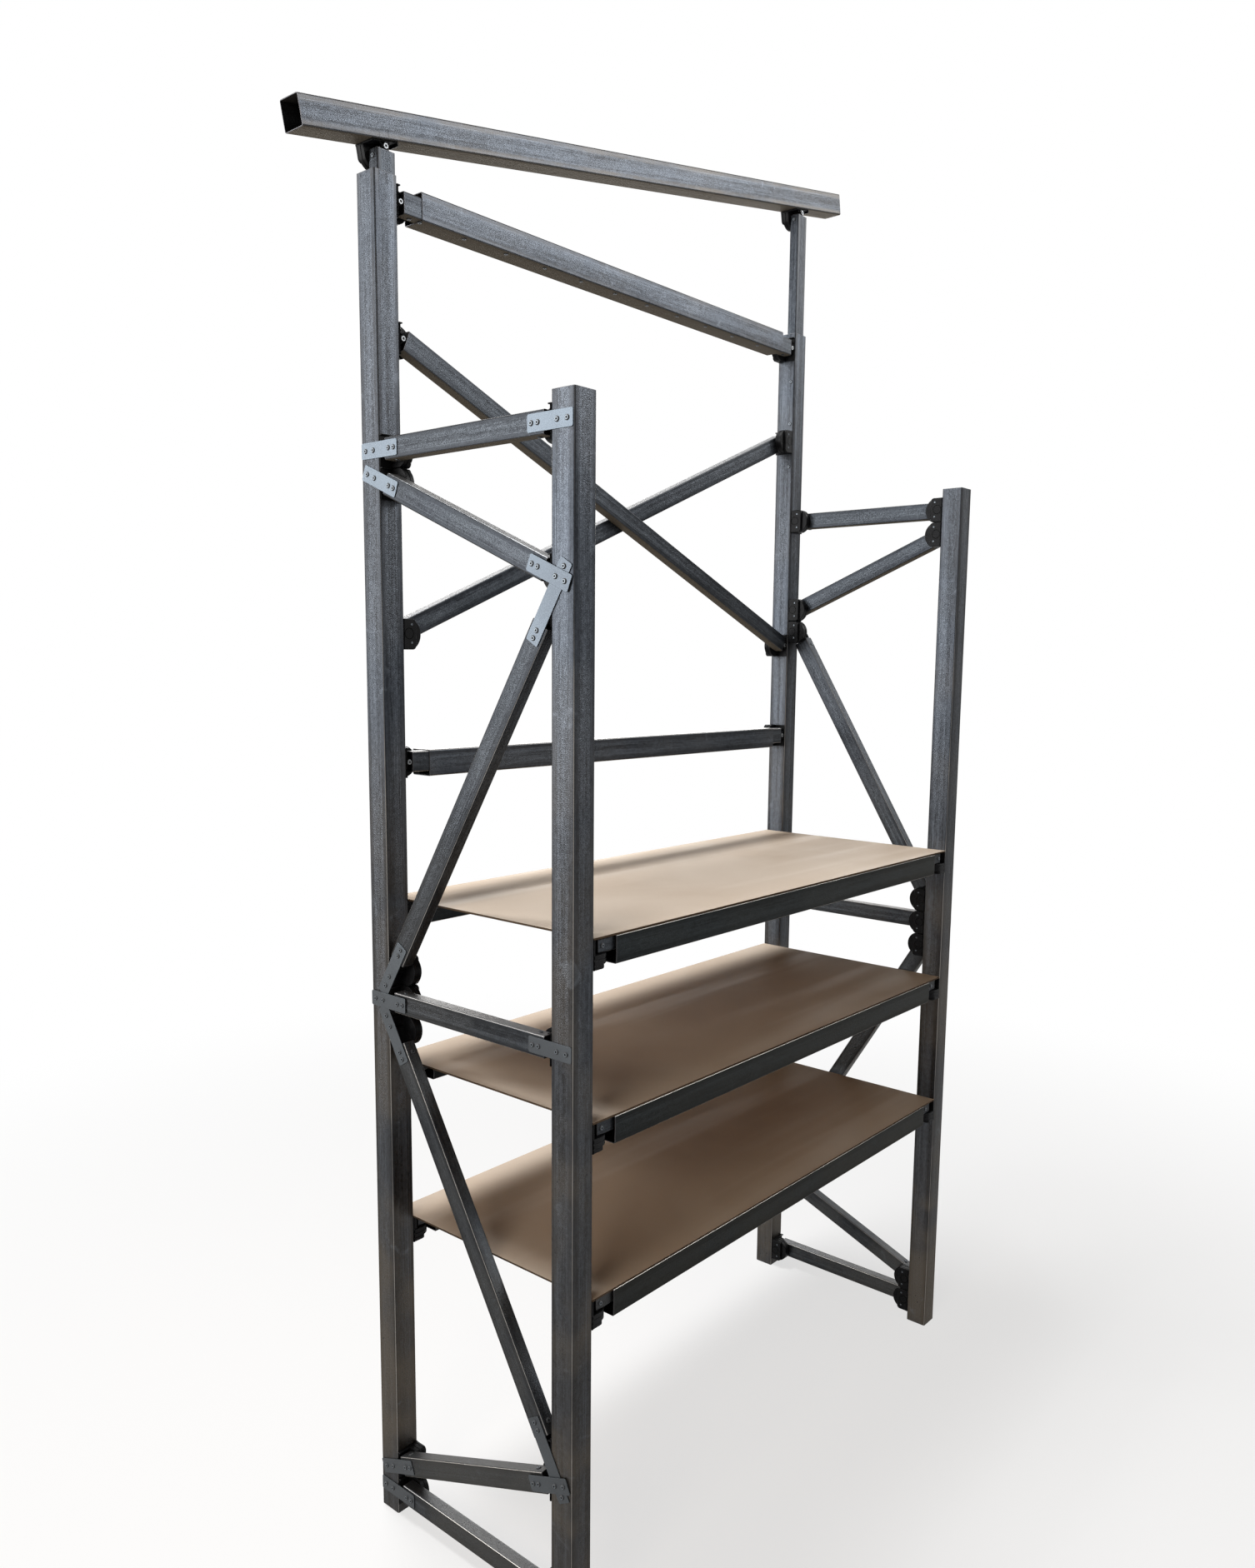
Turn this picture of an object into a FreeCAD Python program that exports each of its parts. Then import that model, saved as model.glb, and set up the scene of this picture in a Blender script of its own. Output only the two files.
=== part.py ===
import FreeCAD, Part
import math
import os
from dataclasses import dataclass

# Free-standing shelving unit of galvanised square tube and moulded hinge connectors.
# Millimetres. Origin: middle of the footprint on the floor. +X to the right, +Y to the rear, +Z up.

# ---- driving dimensions -------------------------------------------------------------------------
FRAME_WIDTH = 1220.0            # outer faces of the left and right posts
FRAME_DEPTH = 466.0             # front face of the front posts to rear face of the rear posts

TUBE = 44.4                     # large square tube
TUBE_WALL = 1.2
TUBE_CORNER = 4.0
BAR_WIDTH = 34.5                # small rectangular tube, measured in the plane it braces
BAR_DEPTH = 22.0                # small rectangular tube, across that plane
BAR_WALL = 1.2
BAR_CORNER = 3.0

SHELF_COUNT = 3
TOP_SHELF_HEIGHT = 1104.5       # upper face of the top board
SHELF_PITCH = 281.0
BOARD_THICKNESS = 3.2
BOARD_SIDE_GAP = 0.5

SIDE_TOP_HEIGHT = 1830.0        # pivot heights of the side frames
SIDE_TOP_BAY = 202.0            # top bar down to the bar under it, at the front
SIDE_MIDDLE_HEIGHT = 938.0
SIDE_LOWER_HEIGHT = 238.0
SIDE_FOOT_HEIGHT = 44.0
FRONT_POST_ABOVE_PIVOT = 41.0   # front post's cut end above the top bar's pivot

BACK_TOP_RAIL_HEIGHT = 2212.5   # pivot heights of the back frame
BACK_MIDDLE_RAIL_HEIGHT = 1335.0
BRACE_UNDER_TOP_RAIL = 205.0
BRACE_ABOVE_MIDDLE_RAIL = 211.0
REAR_POST_ABOVE_PIVOT = 34.5    # rear post's cut end above the top rail's pivot

BEAM_LENGTH = 1505.0
BEAM_TILT = 10.82               # degrees, the right end is the higher one
BEAM_CLEARANCE = 2.3            # left beam connector to the top of its post
MAST_LENGTH = 600.0
MAST_CLEARANCE = 0.2            # play between a mast and the two post walls it leans on

RAIL_END_CLEARANCE = 9.6        # end of a rail's outer tube to the rim of the connector cheek
BACK_INNER_LENGTH = 340.0       # small tube that telescopes into a back rail
SHELF_INNER_LENGTH = 200.0      # small tube that telescopes into a shelf rail

# ---- moulded hinge connector --------------------------------------------------------------------
# u is measured out from the post face, v along the post, w across it from the bar side.
PIVOT_OFFSET = 8.3
RUNNING_CLEARANCE = 0.3
BASE_THICKNESS = 3.0
BASE_ABOVE_PIVOT = 24.0
BASE_BELOW_PIVOT = 26.0
CONNECTOR_GAP = 1.0             # between two connectors stacked on one post
HOOK_REACH = 7.0
HOOK_THICKNESS = 2.0
CHEEK_REACH = 40.0
CHEEK_STRAIGHT = 22.0
CHEEK_CLEARANCE = 0.4
HUB_HEIGHT = 6.4                # from the cheek to the far side of the tube
HUB_HALF_WIDTH = 12.0
HUB_STRAIGHT = 11.0
SHELF_HUB_DROP = 2.6            # hub of a shelf connector below its rail
EAR_SEAT = 1.6
EAR_THICKNESS = 2.8
EAR_RADIUS = 5.5
EAR_ROOT_HALF_HEIGHT = 10.0
BAR_END_CLEARANCE = 7.0         # nearest corner of a cut bar end to the post face
EAR_TO_BAR_CLEARANCE = 0.5      # least gap from the ear's rim to a bar end
PLUG_LENGTH = 30.0
PLUG_CLEARANCE = 0.6
PIN_RADIUS = 2.0                # pivot screw
PIN_CLEARANCE = 0.2             # pin corners to the flats of its bore
HEAD_RADIUS = 4.7
HEAD_THICKNESS = 1.3

# ---- chords that make up the round stretches, kept few because there are fifty connectors --------
PIN_SIDES = 6
HEAD_SIDES = 8
EAR_SIDES = 3
HUB_SIDES = 4
CHEEK_SIDES = 6
CORNER_SIDES = 3

# ---- mending plates -----------------------------------------------------------------------------
PLATE_THICKNESS = 1.5
PLATE_WIDTH = 25.4
PLATE_CORNER = 3.0
PLATE_ON_BAR = 31.0             # plate length on the bar, from the bar end
SHORT_PLATE_ON_POST = 56.5      # plate length past the bar end, on the post
LONG_PLATE_ON_POST = 101.0
SHORTENED_PLATE_GAP = 4.6       # end of a shortened long plate to the middle bar's pivot height

# ---- values that follow -------------------------------------------------------------------------
X = FreeCAD.Vector(1, 0, 0)
Y = FreeCAD.Vector(0, 1, 0)
Z = FreeCAD.Vector(0, 0, 1)
LEFT = -FRAME_WIDTH / 2
FRONT = -FRAME_DEPTH / 2
REAR = FRAME_DEPTH / 2
LEFT_INNER = LEFT + TUBE
REAR_INNER = REAR - TUBE
FRONT_INNER = FRONT + TUBE
RAIL_END = LEFT_INNER + CHEEK_REACH + RAIL_END_CLEARANCE
KNUCKLE_RADIUS = PIVOT_OFFSET - BASE_THICKNESS - RUNNING_CLEARANCE
CHEEK_START = BAR_DEPTH + CHEEK_CLEARANCE
CHEEK_END = TUBE - HUB_HEIGHT
MIN_BAR_GAP = EAR_RADIUS + EAR_TO_BAR_CLEARANCE
CONNECTOR_PITCH = BASE_ABOVE_PIVOT + BASE_BELOW_PIVOT + CONNECTOR_GAP
SIDE_UPPER_HEIGHT = SIDE_TOP_HEIGHT - SIDE_TOP_BAY
FRONT_POST_HEIGHT = SIDE_TOP_HEIGHT + FRONT_POST_ABOVE_PIVOT
REAR_POST_HEIGHT = BACK_TOP_RAIL_HEIGHT + REAR_POST_ABOVE_PIVOT
BACK_BRACE_TOP_HEIGHT = BACK_TOP_RAIL_HEIGHT - BRACE_UNDER_TOP_RAIL
BACK_BRACE_FOOT_HEIGHT = BACK_MIDDLE_RAIL_HEIGHT + BRACE_ABOVE_MIDDLE_RAIL
MAST_X = LEFT_INNER - TUBE_WALL - MAST_CLEARANCE - BAR_WIDTH / 2


# ---- profiles -----------------------------------------------------------------------------------
def polygon(points):
    """Closed wire in the XY plane through (x, y) points."""
    vectors = [FreeCAD.Vector(x, y, 0) for x, y in points]
    return Part.makePolygon(vectors + vectors[:1])


def arc_points(centre_x, centre_y, radius, first, last, sides):
    """Points along an arc, given by its first and last angle in degrees and a number of chords."""
    points = []
    for step in range(sides + 1):
        angle = math.radians(first + (last - first) * step / sides)
        points.append((centre_x + radius * math.cos(angle), centre_y + radius * math.sin(angle)))
    return points


def prism(origin, radius, length, sides):
    """Few-sided pin, head or bore along +Z: its flats lie at the radius."""
    corner = radius / math.cos(math.pi / sides)
    half_step = 180 / sides
    outline = arc_points(0, 0, corner, half_step, 360 - half_step, sides - 1)
    solid = Part.Face(polygon(outline)).extrude(Z * length)
    solid.translate(origin)
    return solid


def cut_rectangle(width, height, radius):
    """Closed wire centred on the origin: each corner is one flat that touches its round."""
    x = width / 2
    y = height / 2
    cut = radius * (2 - math.sqrt(2))
    return polygon([
        (x, cut - y), (x, y - cut), (x - cut, y), (cut - x, y),
        (-x, y - cut), (-x, cut - y), (cut - x, -y), (x - cut, -y)])


def rounded_square(size, radius):
    """Closed wire centred on the origin, with round corners of a few chords each."""
    reach = size / 2 - radius
    points = []
    for quarter, (sx, sy) in enumerate(((1, 1), (-1, 1), (-1, -1), (1, -1))):
        first = 90 * quarter
        points += arc_points(sx * reach, sy * reach, radius, first, first + 90, CORNER_SIDES)
    return polygon(points)


def large_tube(length):
    """Large tube along +Z."""
    bore = TUBE - 2 * TUBE_WALL
    outer = rounded_square(TUBE, TUBE_CORNER)
    inner = cut_rectangle(bore, bore, TUBE_CORNER - TUBE_WALL)
    return Part.Face([outer, inner]).extrude(Z * length)


def small_tube(length):
    """Small tube along +Z: wide side along X, narrow side along Y."""
    outer = cut_rectangle(BAR_WIDTH, BAR_DEPTH, BAR_CORNER)
    margin = 2 * BAR_WALL
    inner = cut_rectangle(BAR_WIDTH - margin, BAR_DEPTH - margin, BAR_CORNER - BAR_WALL)
    return Part.Face([outer, inner]).extrude(Z * length)


def placed(shape, origin, x_axis, y_axis, z_axis):
    """Copy of a shape with its own axes laid along three given directions."""
    result = shape.copy()
    if x_axis.cross(y_axis).dot(z_axis) < 0:
        result = result.mirror(FreeCAD.Vector(), Z)
        z_axis = z_axis * -1
    matrix = FreeCAD.Matrix(
        x_axis.x, y_axis.x, z_axis.x, origin.x,
        x_axis.y, y_axis.y, z_axis.y, origin.y,
        x_axis.z, y_axis.z, z_axis.z, origin.z,
        0, 0, 0, 1)
    result.Placement = FreeCAD.Placement(matrix).multiply(result.Placement)
    return result


def half_turned(shape):
    """Copy turned half a turn about the unit's vertical centre line."""
    result = shape.copy()
    result.rotate(FreeCAD.Vector(), Z, 180)
    return result


def export(name, solids):
    shape = solids[0] if len(solids) == 1 else Part.makeCompound(solids)
    shape.exportStep(os.path.join("parts", name + ".step"))


# ---- hinge connector ----------------------------------------------------------------------------
def cheek_profile(above, below):
    """D-shaped cheek: straight top and bottom, then one arc out to the full reach."""
    half = (above + below) / 2
    bulge = CHEEK_REACH - CHEEK_STRAIGHT
    radius = (half * half + bulge * bulge) / (2 * bulge)
    half_angle = math.degrees(math.asin(half / radius))
    middle = (above - below) / 2
    rim = arc_points(CHEEK_REACH - radius, middle, radius, -half_angle, half_angle, CHEEK_SIDES)
    return Part.Face(polygon([(0, -below), *rim, (0, above)]))


def hub_profile():
    """Round-ended boss on the outer side of the cheek."""
    r = HUB_HALF_WIDTH
    return Part.Face(polygon([(0, -r), *arc_points(HUB_STRAIGHT, 0, r, -90, 90, HUB_SIDES), (0, r)]))


def ear_profile():
    """Thin ear on the bar side: round about the pivot, widening to its root on the base."""
    root = EAR_ROOT_HALF_HEIGHT
    tip = arc_points(PIVOT_OFFSET, 0, EAR_RADIUS, -90, 90, EAR_SIDES)
    return Part.Face(polygon([(BASE_THICKNESS, -root), *tip, (BASE_THICKNESS, root)]))


def bracket_shape(inset, above, below, hub_end):
    """Fixed half of the connector: base, hook, cheek, hub and ear, with the pivot screw in them."""
    base_width = max(TUBE, hub_end)
    base = Part.makeBox(BASE_THICKNESS, above + below, base_width, FreeCAD.Vector(0, -below, 0))
    hook = Part.makeBox(HOOK_REACH, HOOK_THICKNESS, BAR_DEPTH,
                        FreeCAD.Vector(0, above - HOOK_THICKNESS, 0))
    cheek = cheek_profile(above, below).extrude(Z * (CHEEK_END - CHEEK_START))
    cheek.translate(Z * (inset + CHEEK_START))
    hub = hub_profile().extrude(Z * (hub_end - inset - CHEEK_END))
    hub.translate(Z * (inset + CHEEK_END))
    ear = ear_profile().extrude(Z * EAR_THICKNESS)
    ear.translate(Z * (inset + EAR_SEAT))
    axis = FreeCAD.Vector(PIVOT_OFFSET, 0, inset + EAR_SEAT)
    shank = prism(axis, PIN_RADIUS, CHEEK_START - EAR_SEAT, PIN_SIDES)
    head = prism(axis - Z * HEAD_THICKNESS, HEAD_RADIUS, HEAD_THICKNESS, HEAD_SIDES)
    return base.fuse([hook, cheek, hub, ear, shank, head]).removeSplitter()


def tongue_shape(gap, inset):
    """Turning half: knuckle and neck about the pivot, then the plug inside the bar, along +X."""
    r = KNUCKLE_RADIUS
    knuckle = arc_points(0, 0, r, -90, -270, EAR_SIDES)
    start = inset + EAR_SEAT + EAR_THICKNESS + RUNNING_CLEARANCE
    end = inset + CHEEK_START - RUNNING_CLEARANCE
    neck = Part.Face(polygon([(gap, -r), *knuckle, (gap, r)])).extrude(Z * (end - start))
    neck.translate(Z * start)
    margin = BAR_WALL + PLUG_CLEARANCE
    corner = FreeCAD.Vector(gap, margin - BAR_WIDTH / 2, inset + margin)
    plug = Part.makeBox(PLUG_LENGTH, BAR_WIDTH - 2 * margin, BAR_DEPTH - 2 * margin, corner)
    bore_radius = PIN_RADIUS / math.cos(math.pi / PIN_SIDES) + PIN_CLEARANCE
    bore = prism(FreeCAD.Vector(), bore_radius, end, PIN_SIDES)
    return neck.fuse(plug).removeSplitter().cut(bore)


@dataclass
class Connector:
    """One hinge connector on a tube face, and the direction its bar leaves in."""

    foot: FreeCAD.Vector        # point of the face straight under the pivot, on the bar side
    out: FreeCAD.Vector         # u: out of the face
    along: FreeCAD.Vector       # v: along the tube that carries it
    across: FreeCAD.Vector      # w: from the bar side to the cheek side
    bar: FreeCAD.Vector         # unit vector along the bar, away from the pivot
    inset: float = 0.0          # bar side of the hinge, inside the tube's own side
    above: float = BASE_ABOVE_PIVOT
    below: float = BASE_BELOW_PIVOT
    hub_drop: float = 0.0

    def pivot(self):
        return self.foot + self.out * PIVOT_OFFSET

    def gap(self):
        """Pivot to cut bar end, so that the end's nearest corner clears the face."""
        cosine = self.bar.dot(self.out)
        sine = math.sqrt(max(0.0, 1 - cosine * cosine))
        needed = (BAR_END_CLEARANCE - PIVOT_OFFSET + sine * BAR_WIDTH / 2) / cosine
        return max(MIN_BAR_GAP, needed)

    def bar_end(self):
        return self.pivot() + self.bar * self.gap()

    def bracket(self):
        hub_end = TUBE + self.hub_drop
        shape = bracket_shape(self.inset, self.above, self.below, hub_end)
        return placed(shape, self.foot, self.out, self.along, self.across)

    def tongue(self):
        shape = tongue_shape(self.gap(), self.inset)
        return placed(shape, self.pivot(), self.bar, self.across.cross(self.bar), self.across)


def bar_between(first, second):
    """Small tube from one connector to another, flush with their bar side."""
    start = first.bar_end()
    length = start.distanceToPoint(second.bar_end())
    centre = start + first.across * (first.inset + BAR_DEPTH / 2)
    side = first.across.cross(first.bar)
    return placed(small_tube(length), centre, side, first.across, first.bar)


# ---- posts --------------------------------------------------------------------------------------
def make_posts():
    for side_name, side in (("left", -1), ("right", 1)):
        for row_name, row, height in (("front", -1, FRONT_POST_HEIGHT), ("rear", 1, REAR_POST_HEIGHT)):
            post = large_tube(height)
            post.translate(X * side * (FRAME_WIDTH - TUBE) / 2)
            post.translate(Y * row * (FRAME_DEPTH - TUBE) / 2)
            export("post_" + row_name + "_" + side_name, [post])


# ---- side frames --------------------------------------------------------------------------------
@dataclass
class SideBar:
    """One bar of the left side frame with its two mending plates."""

    rear_height: float
    front_height: float
    long_plates: bool = False   # long at the front, shortened at the rear
    rear_layer: int = 0
    front_layer: int = 0

    def ends(self):
        rear_foot = FreeCAD.Vector(LEFT, REAR_INNER, self.rear_height)
        front_foot = FreeCAD.Vector(LEFT, FRONT_INNER, self.front_height)
        rear_pivot = rear_foot - Y * PIVOT_OFFSET
        front_pivot = front_foot + Y * PIVOT_OFFSET
        forward = (front_pivot - rear_pivot).normalize()
        rear = Connector(rear_foot, Y * -1, Z, X, forward)
        front = Connector(front_foot, Y, Z, X, forward * -1)
        return rear, front

    def plates(self):
        """Rear and front mending plates."""
        rear, front = self.ends()
        rear_reach = SHORT_PLATE_ON_POST
        front_reach = SHORT_PLATE_ON_POST
        if self.long_plates:
            rear_reach = reach_to_height(rear, SIDE_MIDDLE_HEIGHT)
            front_reach = LONG_PLATE_ON_POST
        return [
            mending_plate(rear, rear_reach, self.rear_layer),
            mending_plate(front, front_reach, self.front_layer),
        ]


def side_bars():
    """Bars of one side frame from the top down; neighbours on a post are one pitch apart."""
    pitch = CONNECTOR_PITCH
    top = SIDE_TOP_HEIGHT
    upper = SIDE_UPPER_HEIGHT
    middle = SIDE_MIDDLE_HEIGHT
    lower = SIDE_LOWER_HEIGHT
    foot = SIDE_FOOT_HEIGHT
    return [
        SideBar(top, top),
        SideBar(top - pitch, upper, front_layer=1),
        SideBar(middle + pitch, upper - pitch, long_plates=True),
        SideBar(middle, middle, rear_layer=1),
        SideBar(middle - pitch, lower + pitch, long_plates=True),
        SideBar(foot + pitch, lower, front_layer=1),
        SideBar(foot, foot),
    ]


def reach_to_height(end, height):
    """Plate length past the bar end that stops one gap short of a height on the post."""
    half_end = abs(end.bar.dot(end.out)) * PLATE_WIDTH / 2
    rise = abs(end.bar_end().z - height)
    return (rise - SHORTENED_PLATE_GAP - half_end) / abs(end.bar.z)


def mending_plate(end, on_post, layer):
    """Flat plate across a bar end and its post, on the outer face of the side frame."""
    length = PLATE_ON_BAR + on_post
    outline = cut_rectangle(length, PLATE_WIDTH, PLATE_CORNER)
    plate = Part.Face(outline).extrude(Z * PLATE_THICKNESS)
    centre = end.bar_end() + end.bar * (PLATE_ON_BAR - length / 2)
    face = centre - end.across * (PLATE_THICKNESS * layer)
    side = end.across.cross(end.bar)
    return placed(plate, face, end.bar, side, end.across * -1)


def make_side_frames():
    brackets = []
    tongues = []
    plates = []
    for number, bar in enumerate(side_bars(), start=1):
        rear, front = bar.ends()
        tube = bar_between(rear, front)
        export("left_bar_%d" % number, [tube])
        export("right_bar_%d" % number, [half_turned(tube)])
        for end in (rear, front):
            brackets.append(end.bracket())
            tongues.append(end.tongue())
        plates += bar.plates()
    groups = (("brackets", brackets), ("tongues", tongues), ("plates", plates))
    for name, solids in groups:
        export("left_" + name, solids)
        export("right_" + name, [half_turned(solid) for solid in solids])


# ---- telescoping rails --------------------------------------------------------------------------
def rail_outer(y_centre, z_centre):
    """Large tube along X that slides over the small tubes of both ends."""
    tube = large_tube(-2 * RAIL_END)
    return placed(tube, FreeCAD.Vector(RAIL_END, y_centre, z_centre), Y, Z, X)


def rail_inner(end, length):
    """Small tube from a connector into the outer tube of its rail."""
    centre = end.bar_end() + end.across * (end.inset + BAR_DEPTH / 2)
    side = end.across.cross(end.bar)
    return placed(small_tube(length), centre, side, end.across, end.bar)


def rail_ends(y_foot, z_foot, along, across, above, below, hub_drop):
    """Connectors of a level rail on the inner faces of two posts."""
    ends = []
    for side in (-1, 1):
        foot = FreeCAD.Vector(side * -LEFT_INNER, y_foot, z_foot)
        out = X * -side
        ends.append(Connector(foot, out, along, across, out, TUBE_WALL, above, below, hub_drop))
    return ends


# ---- back frame ---------------------------------------------------------------------------------
def back_brace(left_height, right_height, y_side, across):
    """Connectors of a brace between the rear posts, on one side of the frame plane."""
    left_foot = FreeCAD.Vector(LEFT_INNER, y_side, left_height)
    right_foot = FreeCAD.Vector(-LEFT_INNER, y_side, right_height)
    left_pivot = left_foot + X * PIVOT_OFFSET
    right_pivot = right_foot - X * PIVOT_OFFSET
    run = (right_pivot - left_pivot).normalize()
    return Connector(left_foot, X, Z, across, run), Connector(right_foot, X * -1, Z, across, run * -1)


def make_back_frame():
    brackets = []
    tongues = []
    high = BACK_BRACE_TOP_HEIGHT
    low = BACK_BRACE_FOOT_HEIGHT
    falling = back_brace(high, low, REAR_INNER, Y)
    rising = back_brace(low, high, REAR, Y * -1)
    export("back_brace_falling", [bar_between(*falling)])
    export("back_brace_rising", [bar_between(*rising)])
    y_centre = REAR - TUBE / 2
    half_bar = BAR_WIDTH / 2
    top_ends = rail_ends(REAR_INNER, BACK_TOP_RAIL_HEIGHT, Z, Y, BASE_ABOVE_PIVOT, BASE_BELOW_PIVOT, 0.0)
    top_centre = BACK_TOP_RAIL_HEIGHT - half_bar - TUBE_WALL + TUBE / 2
    middle_ends = rail_ends(REAR_INNER, BACK_MIDDLE_RAIL_HEIGHT, Z, Y,
                            BASE_ABOVE_PIVOT, BASE_BELOW_PIVOT, 0.0)
    middle_centre = BACK_MIDDLE_RAIL_HEIGHT + half_bar + TUBE_WALL - TUBE / 2
    for name, ends, z_centre in (("top", top_ends, top_centre), ("middle", middle_ends, middle_centre)):
        export("back_rail_%s_outer" % name, [rail_outer(y_centre, z_centre)])
        export("back_rail_%s_inners" % name, [rail_inner(end, BACK_INNER_LENGTH) for end in ends])
    for end in (*falling, *rising, *top_ends, *middle_ends):
        brackets.append(end.bracket())
        tongues.append(end.tongue())
    export("back_brackets", brackets)
    export("back_tongues", tongues)


# ---- shelves ------------------------------------------------------------------------------------
def make_shelves():
    brackets = []
    tongues = []
    half = TUBE / 2
    for index in range(SHELF_COUNT):
        number = index + 1
        rail_top = TOP_SHELF_HEIGHT - index * SHELF_PITCH - BOARD_THICKNESS
        inners = []
        for row_name, row in (("front", -1), ("rear", 1)):
            y_centre = row * (FRAME_DEPTH - TUBE) / 2
            export("shelf_%d_%s_rail" % (number, row_name), [rail_outer(y_centre, rail_top - half)])
            ends = rail_ends(y_centre, rail_top, Y * -row, Z * -1, half, half, SHELF_HUB_DROP)
            for end in ends:
                inners.append(rail_inner(end, SHELF_INNER_LENGTH))
                brackets.append(end.bracket())
                tongues.append(end.tongue())
            export("shelf_%d_rail_inners" % number, inners)
        width = FRAME_WIDTH - 2 * (TUBE + BOARD_SIDE_GAP)
        corner = FreeCAD.Vector(-width / 2, FRONT, rail_top)
        export("board_%d" % number, [Part.makeBox(width, FRAME_DEPTH, BOARD_THICKNESS, corner)])
    export("shelf_brackets", brackets)
    export("shelf_tongues", tongues)


# ---- masts and tilted top beam ------------------------------------------------------------------
def along_beam(x, run, normal):
    """Distance along the beam, from its middle, to the connector whose pivot lies over x."""
    return (x + normal.x * (TUBE / 2 + PIVOT_OFFSET)) / run.x


def beam_centre_height(run, normal):
    """Height at which the left connector just clears the post that its mast stands in."""
    bracket_depth = normal.z * CHEEK_REACH + run.z * BASE_BELOW_PIVOT
    foot_height = REAR_POST_HEIGHT + BEAM_CLEARANCE + bracket_depth
    return foot_height + normal.z * TUBE / 2 - run.z * along_beam(MAST_X, run, normal)


def make_canopy():
    """Two masts that slide in the rear posts and carry the tilted beam on hinge connectors."""
    tilt = math.radians(BEAM_TILT)
    run = FreeCAD.Vector(math.cos(tilt), 0, math.sin(tilt))
    normal = FreeCAD.Vector(-math.sin(tilt), 0, math.cos(tilt))
    height = beam_centre_height(run, normal)
    centre = FreeCAD.Vector(0, REAR - TUBE / 2, height)
    beam = placed(large_tube(BEAM_LENGTH), centre - run * (BEAM_LENGTH / 2), Y, normal, run)
    export("top_beam", [beam])
    inset = TUBE_WALL + MAST_CLEARANCE
    underside = FreeCAD.Vector(0, REAR_INNER, height) - normal * (TUBE / 2)
    brackets = []
    tongues = []
    for name, x in (("left", MAST_X), ("right", -MAST_X)):
        foot = underside + run * along_beam(x, run, normal)
        end = Connector(foot, normal * -1, run, Y, Z * -1, inset)
        mast = rail_inner(end, MAST_LENGTH)
        export("mast_" + name, [mast])
        brackets.append(end.bracket())
        tongues.append(end.tongue())
    export("beam_brackets", brackets)
    export("beam_tongues", tongues)


os.makedirs("parts", exist_ok=True)
make_posts()
make_side_frames()
make_back_frame()
make_shelves()
make_canopy()
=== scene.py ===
import logging
import math
import random
from dataclasses import astuple, dataclass, field
from enum import Enum
from functools import cache
from typing import Sequence

import bpy
import numpy as np
from mathutils import Matrix, Vector


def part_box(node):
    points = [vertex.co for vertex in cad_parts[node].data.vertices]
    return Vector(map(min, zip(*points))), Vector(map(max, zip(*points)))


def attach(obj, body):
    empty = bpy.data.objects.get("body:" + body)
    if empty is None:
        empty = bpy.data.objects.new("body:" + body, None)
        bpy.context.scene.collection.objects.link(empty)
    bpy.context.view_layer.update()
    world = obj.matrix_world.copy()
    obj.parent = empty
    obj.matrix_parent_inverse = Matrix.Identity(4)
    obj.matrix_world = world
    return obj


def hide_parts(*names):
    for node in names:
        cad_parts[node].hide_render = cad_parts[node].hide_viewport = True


# Looks of the free-standing shelving unit: galvanised square tube, moulded hinge connectors,
# hardboard shelves and a tilted beam on two masts. Metres; +X right, +Y rear, +Z up.

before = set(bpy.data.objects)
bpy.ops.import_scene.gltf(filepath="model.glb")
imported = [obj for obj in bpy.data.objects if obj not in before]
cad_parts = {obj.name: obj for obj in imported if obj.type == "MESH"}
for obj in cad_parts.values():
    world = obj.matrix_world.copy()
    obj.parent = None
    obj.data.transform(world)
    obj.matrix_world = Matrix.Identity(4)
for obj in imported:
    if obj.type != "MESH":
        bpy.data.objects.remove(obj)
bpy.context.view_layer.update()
LOG = logging.getLogger("shelving")

X = Vector((1, 0, 0))
Y = Vector((0, 1, 0))
Z = Vector((0, 0, 1))

Pair = tuple[float, float]
Triple = tuple[float, float, float]
Colour = tuple[float, float, float, float]
Ramp = tuple[float, float, float, float]
Noise = tuple[float, ...]
Spot = tuple[Vector, Vector]
Material = bpy.types.Material
Object = bpy.types.Object
Node = bpy.types.Node


class Slot(Enum):
    """Material slots of the record."""

    TUBE = "tube_steel"
    BAR = "bar_steel"
    PLATE = "plate_steel"
    CONNECTOR = "connector_plastic"
    BOARD = "hardboard"


class Body(Enum):
    """Rigid bodies that the pieces ride on."""

    FRAME = "frame"
    CANOPY = "canopy"
    BOARD_1 = "board_1"
    BOARD_2 = "board_2"
    BOARD_3 = "board_3"


class Side(Enum):
    """Left or right half of the unit."""

    LEFT = -1
    RIGHT = 1


class Layer(Enum):
    """Third number of the lay attribute: which surface of a tube a corner is on."""

    BORE = -1.0
    CUT_END = 0.0
    WALL = 1.0


# ---- stock sizes, the same as in the part's source
@dataclass(frozen=True)
class Stock:
    """A rectangular tube."""

    width: float
    depth: float
    wall: float
    corner: float


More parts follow.
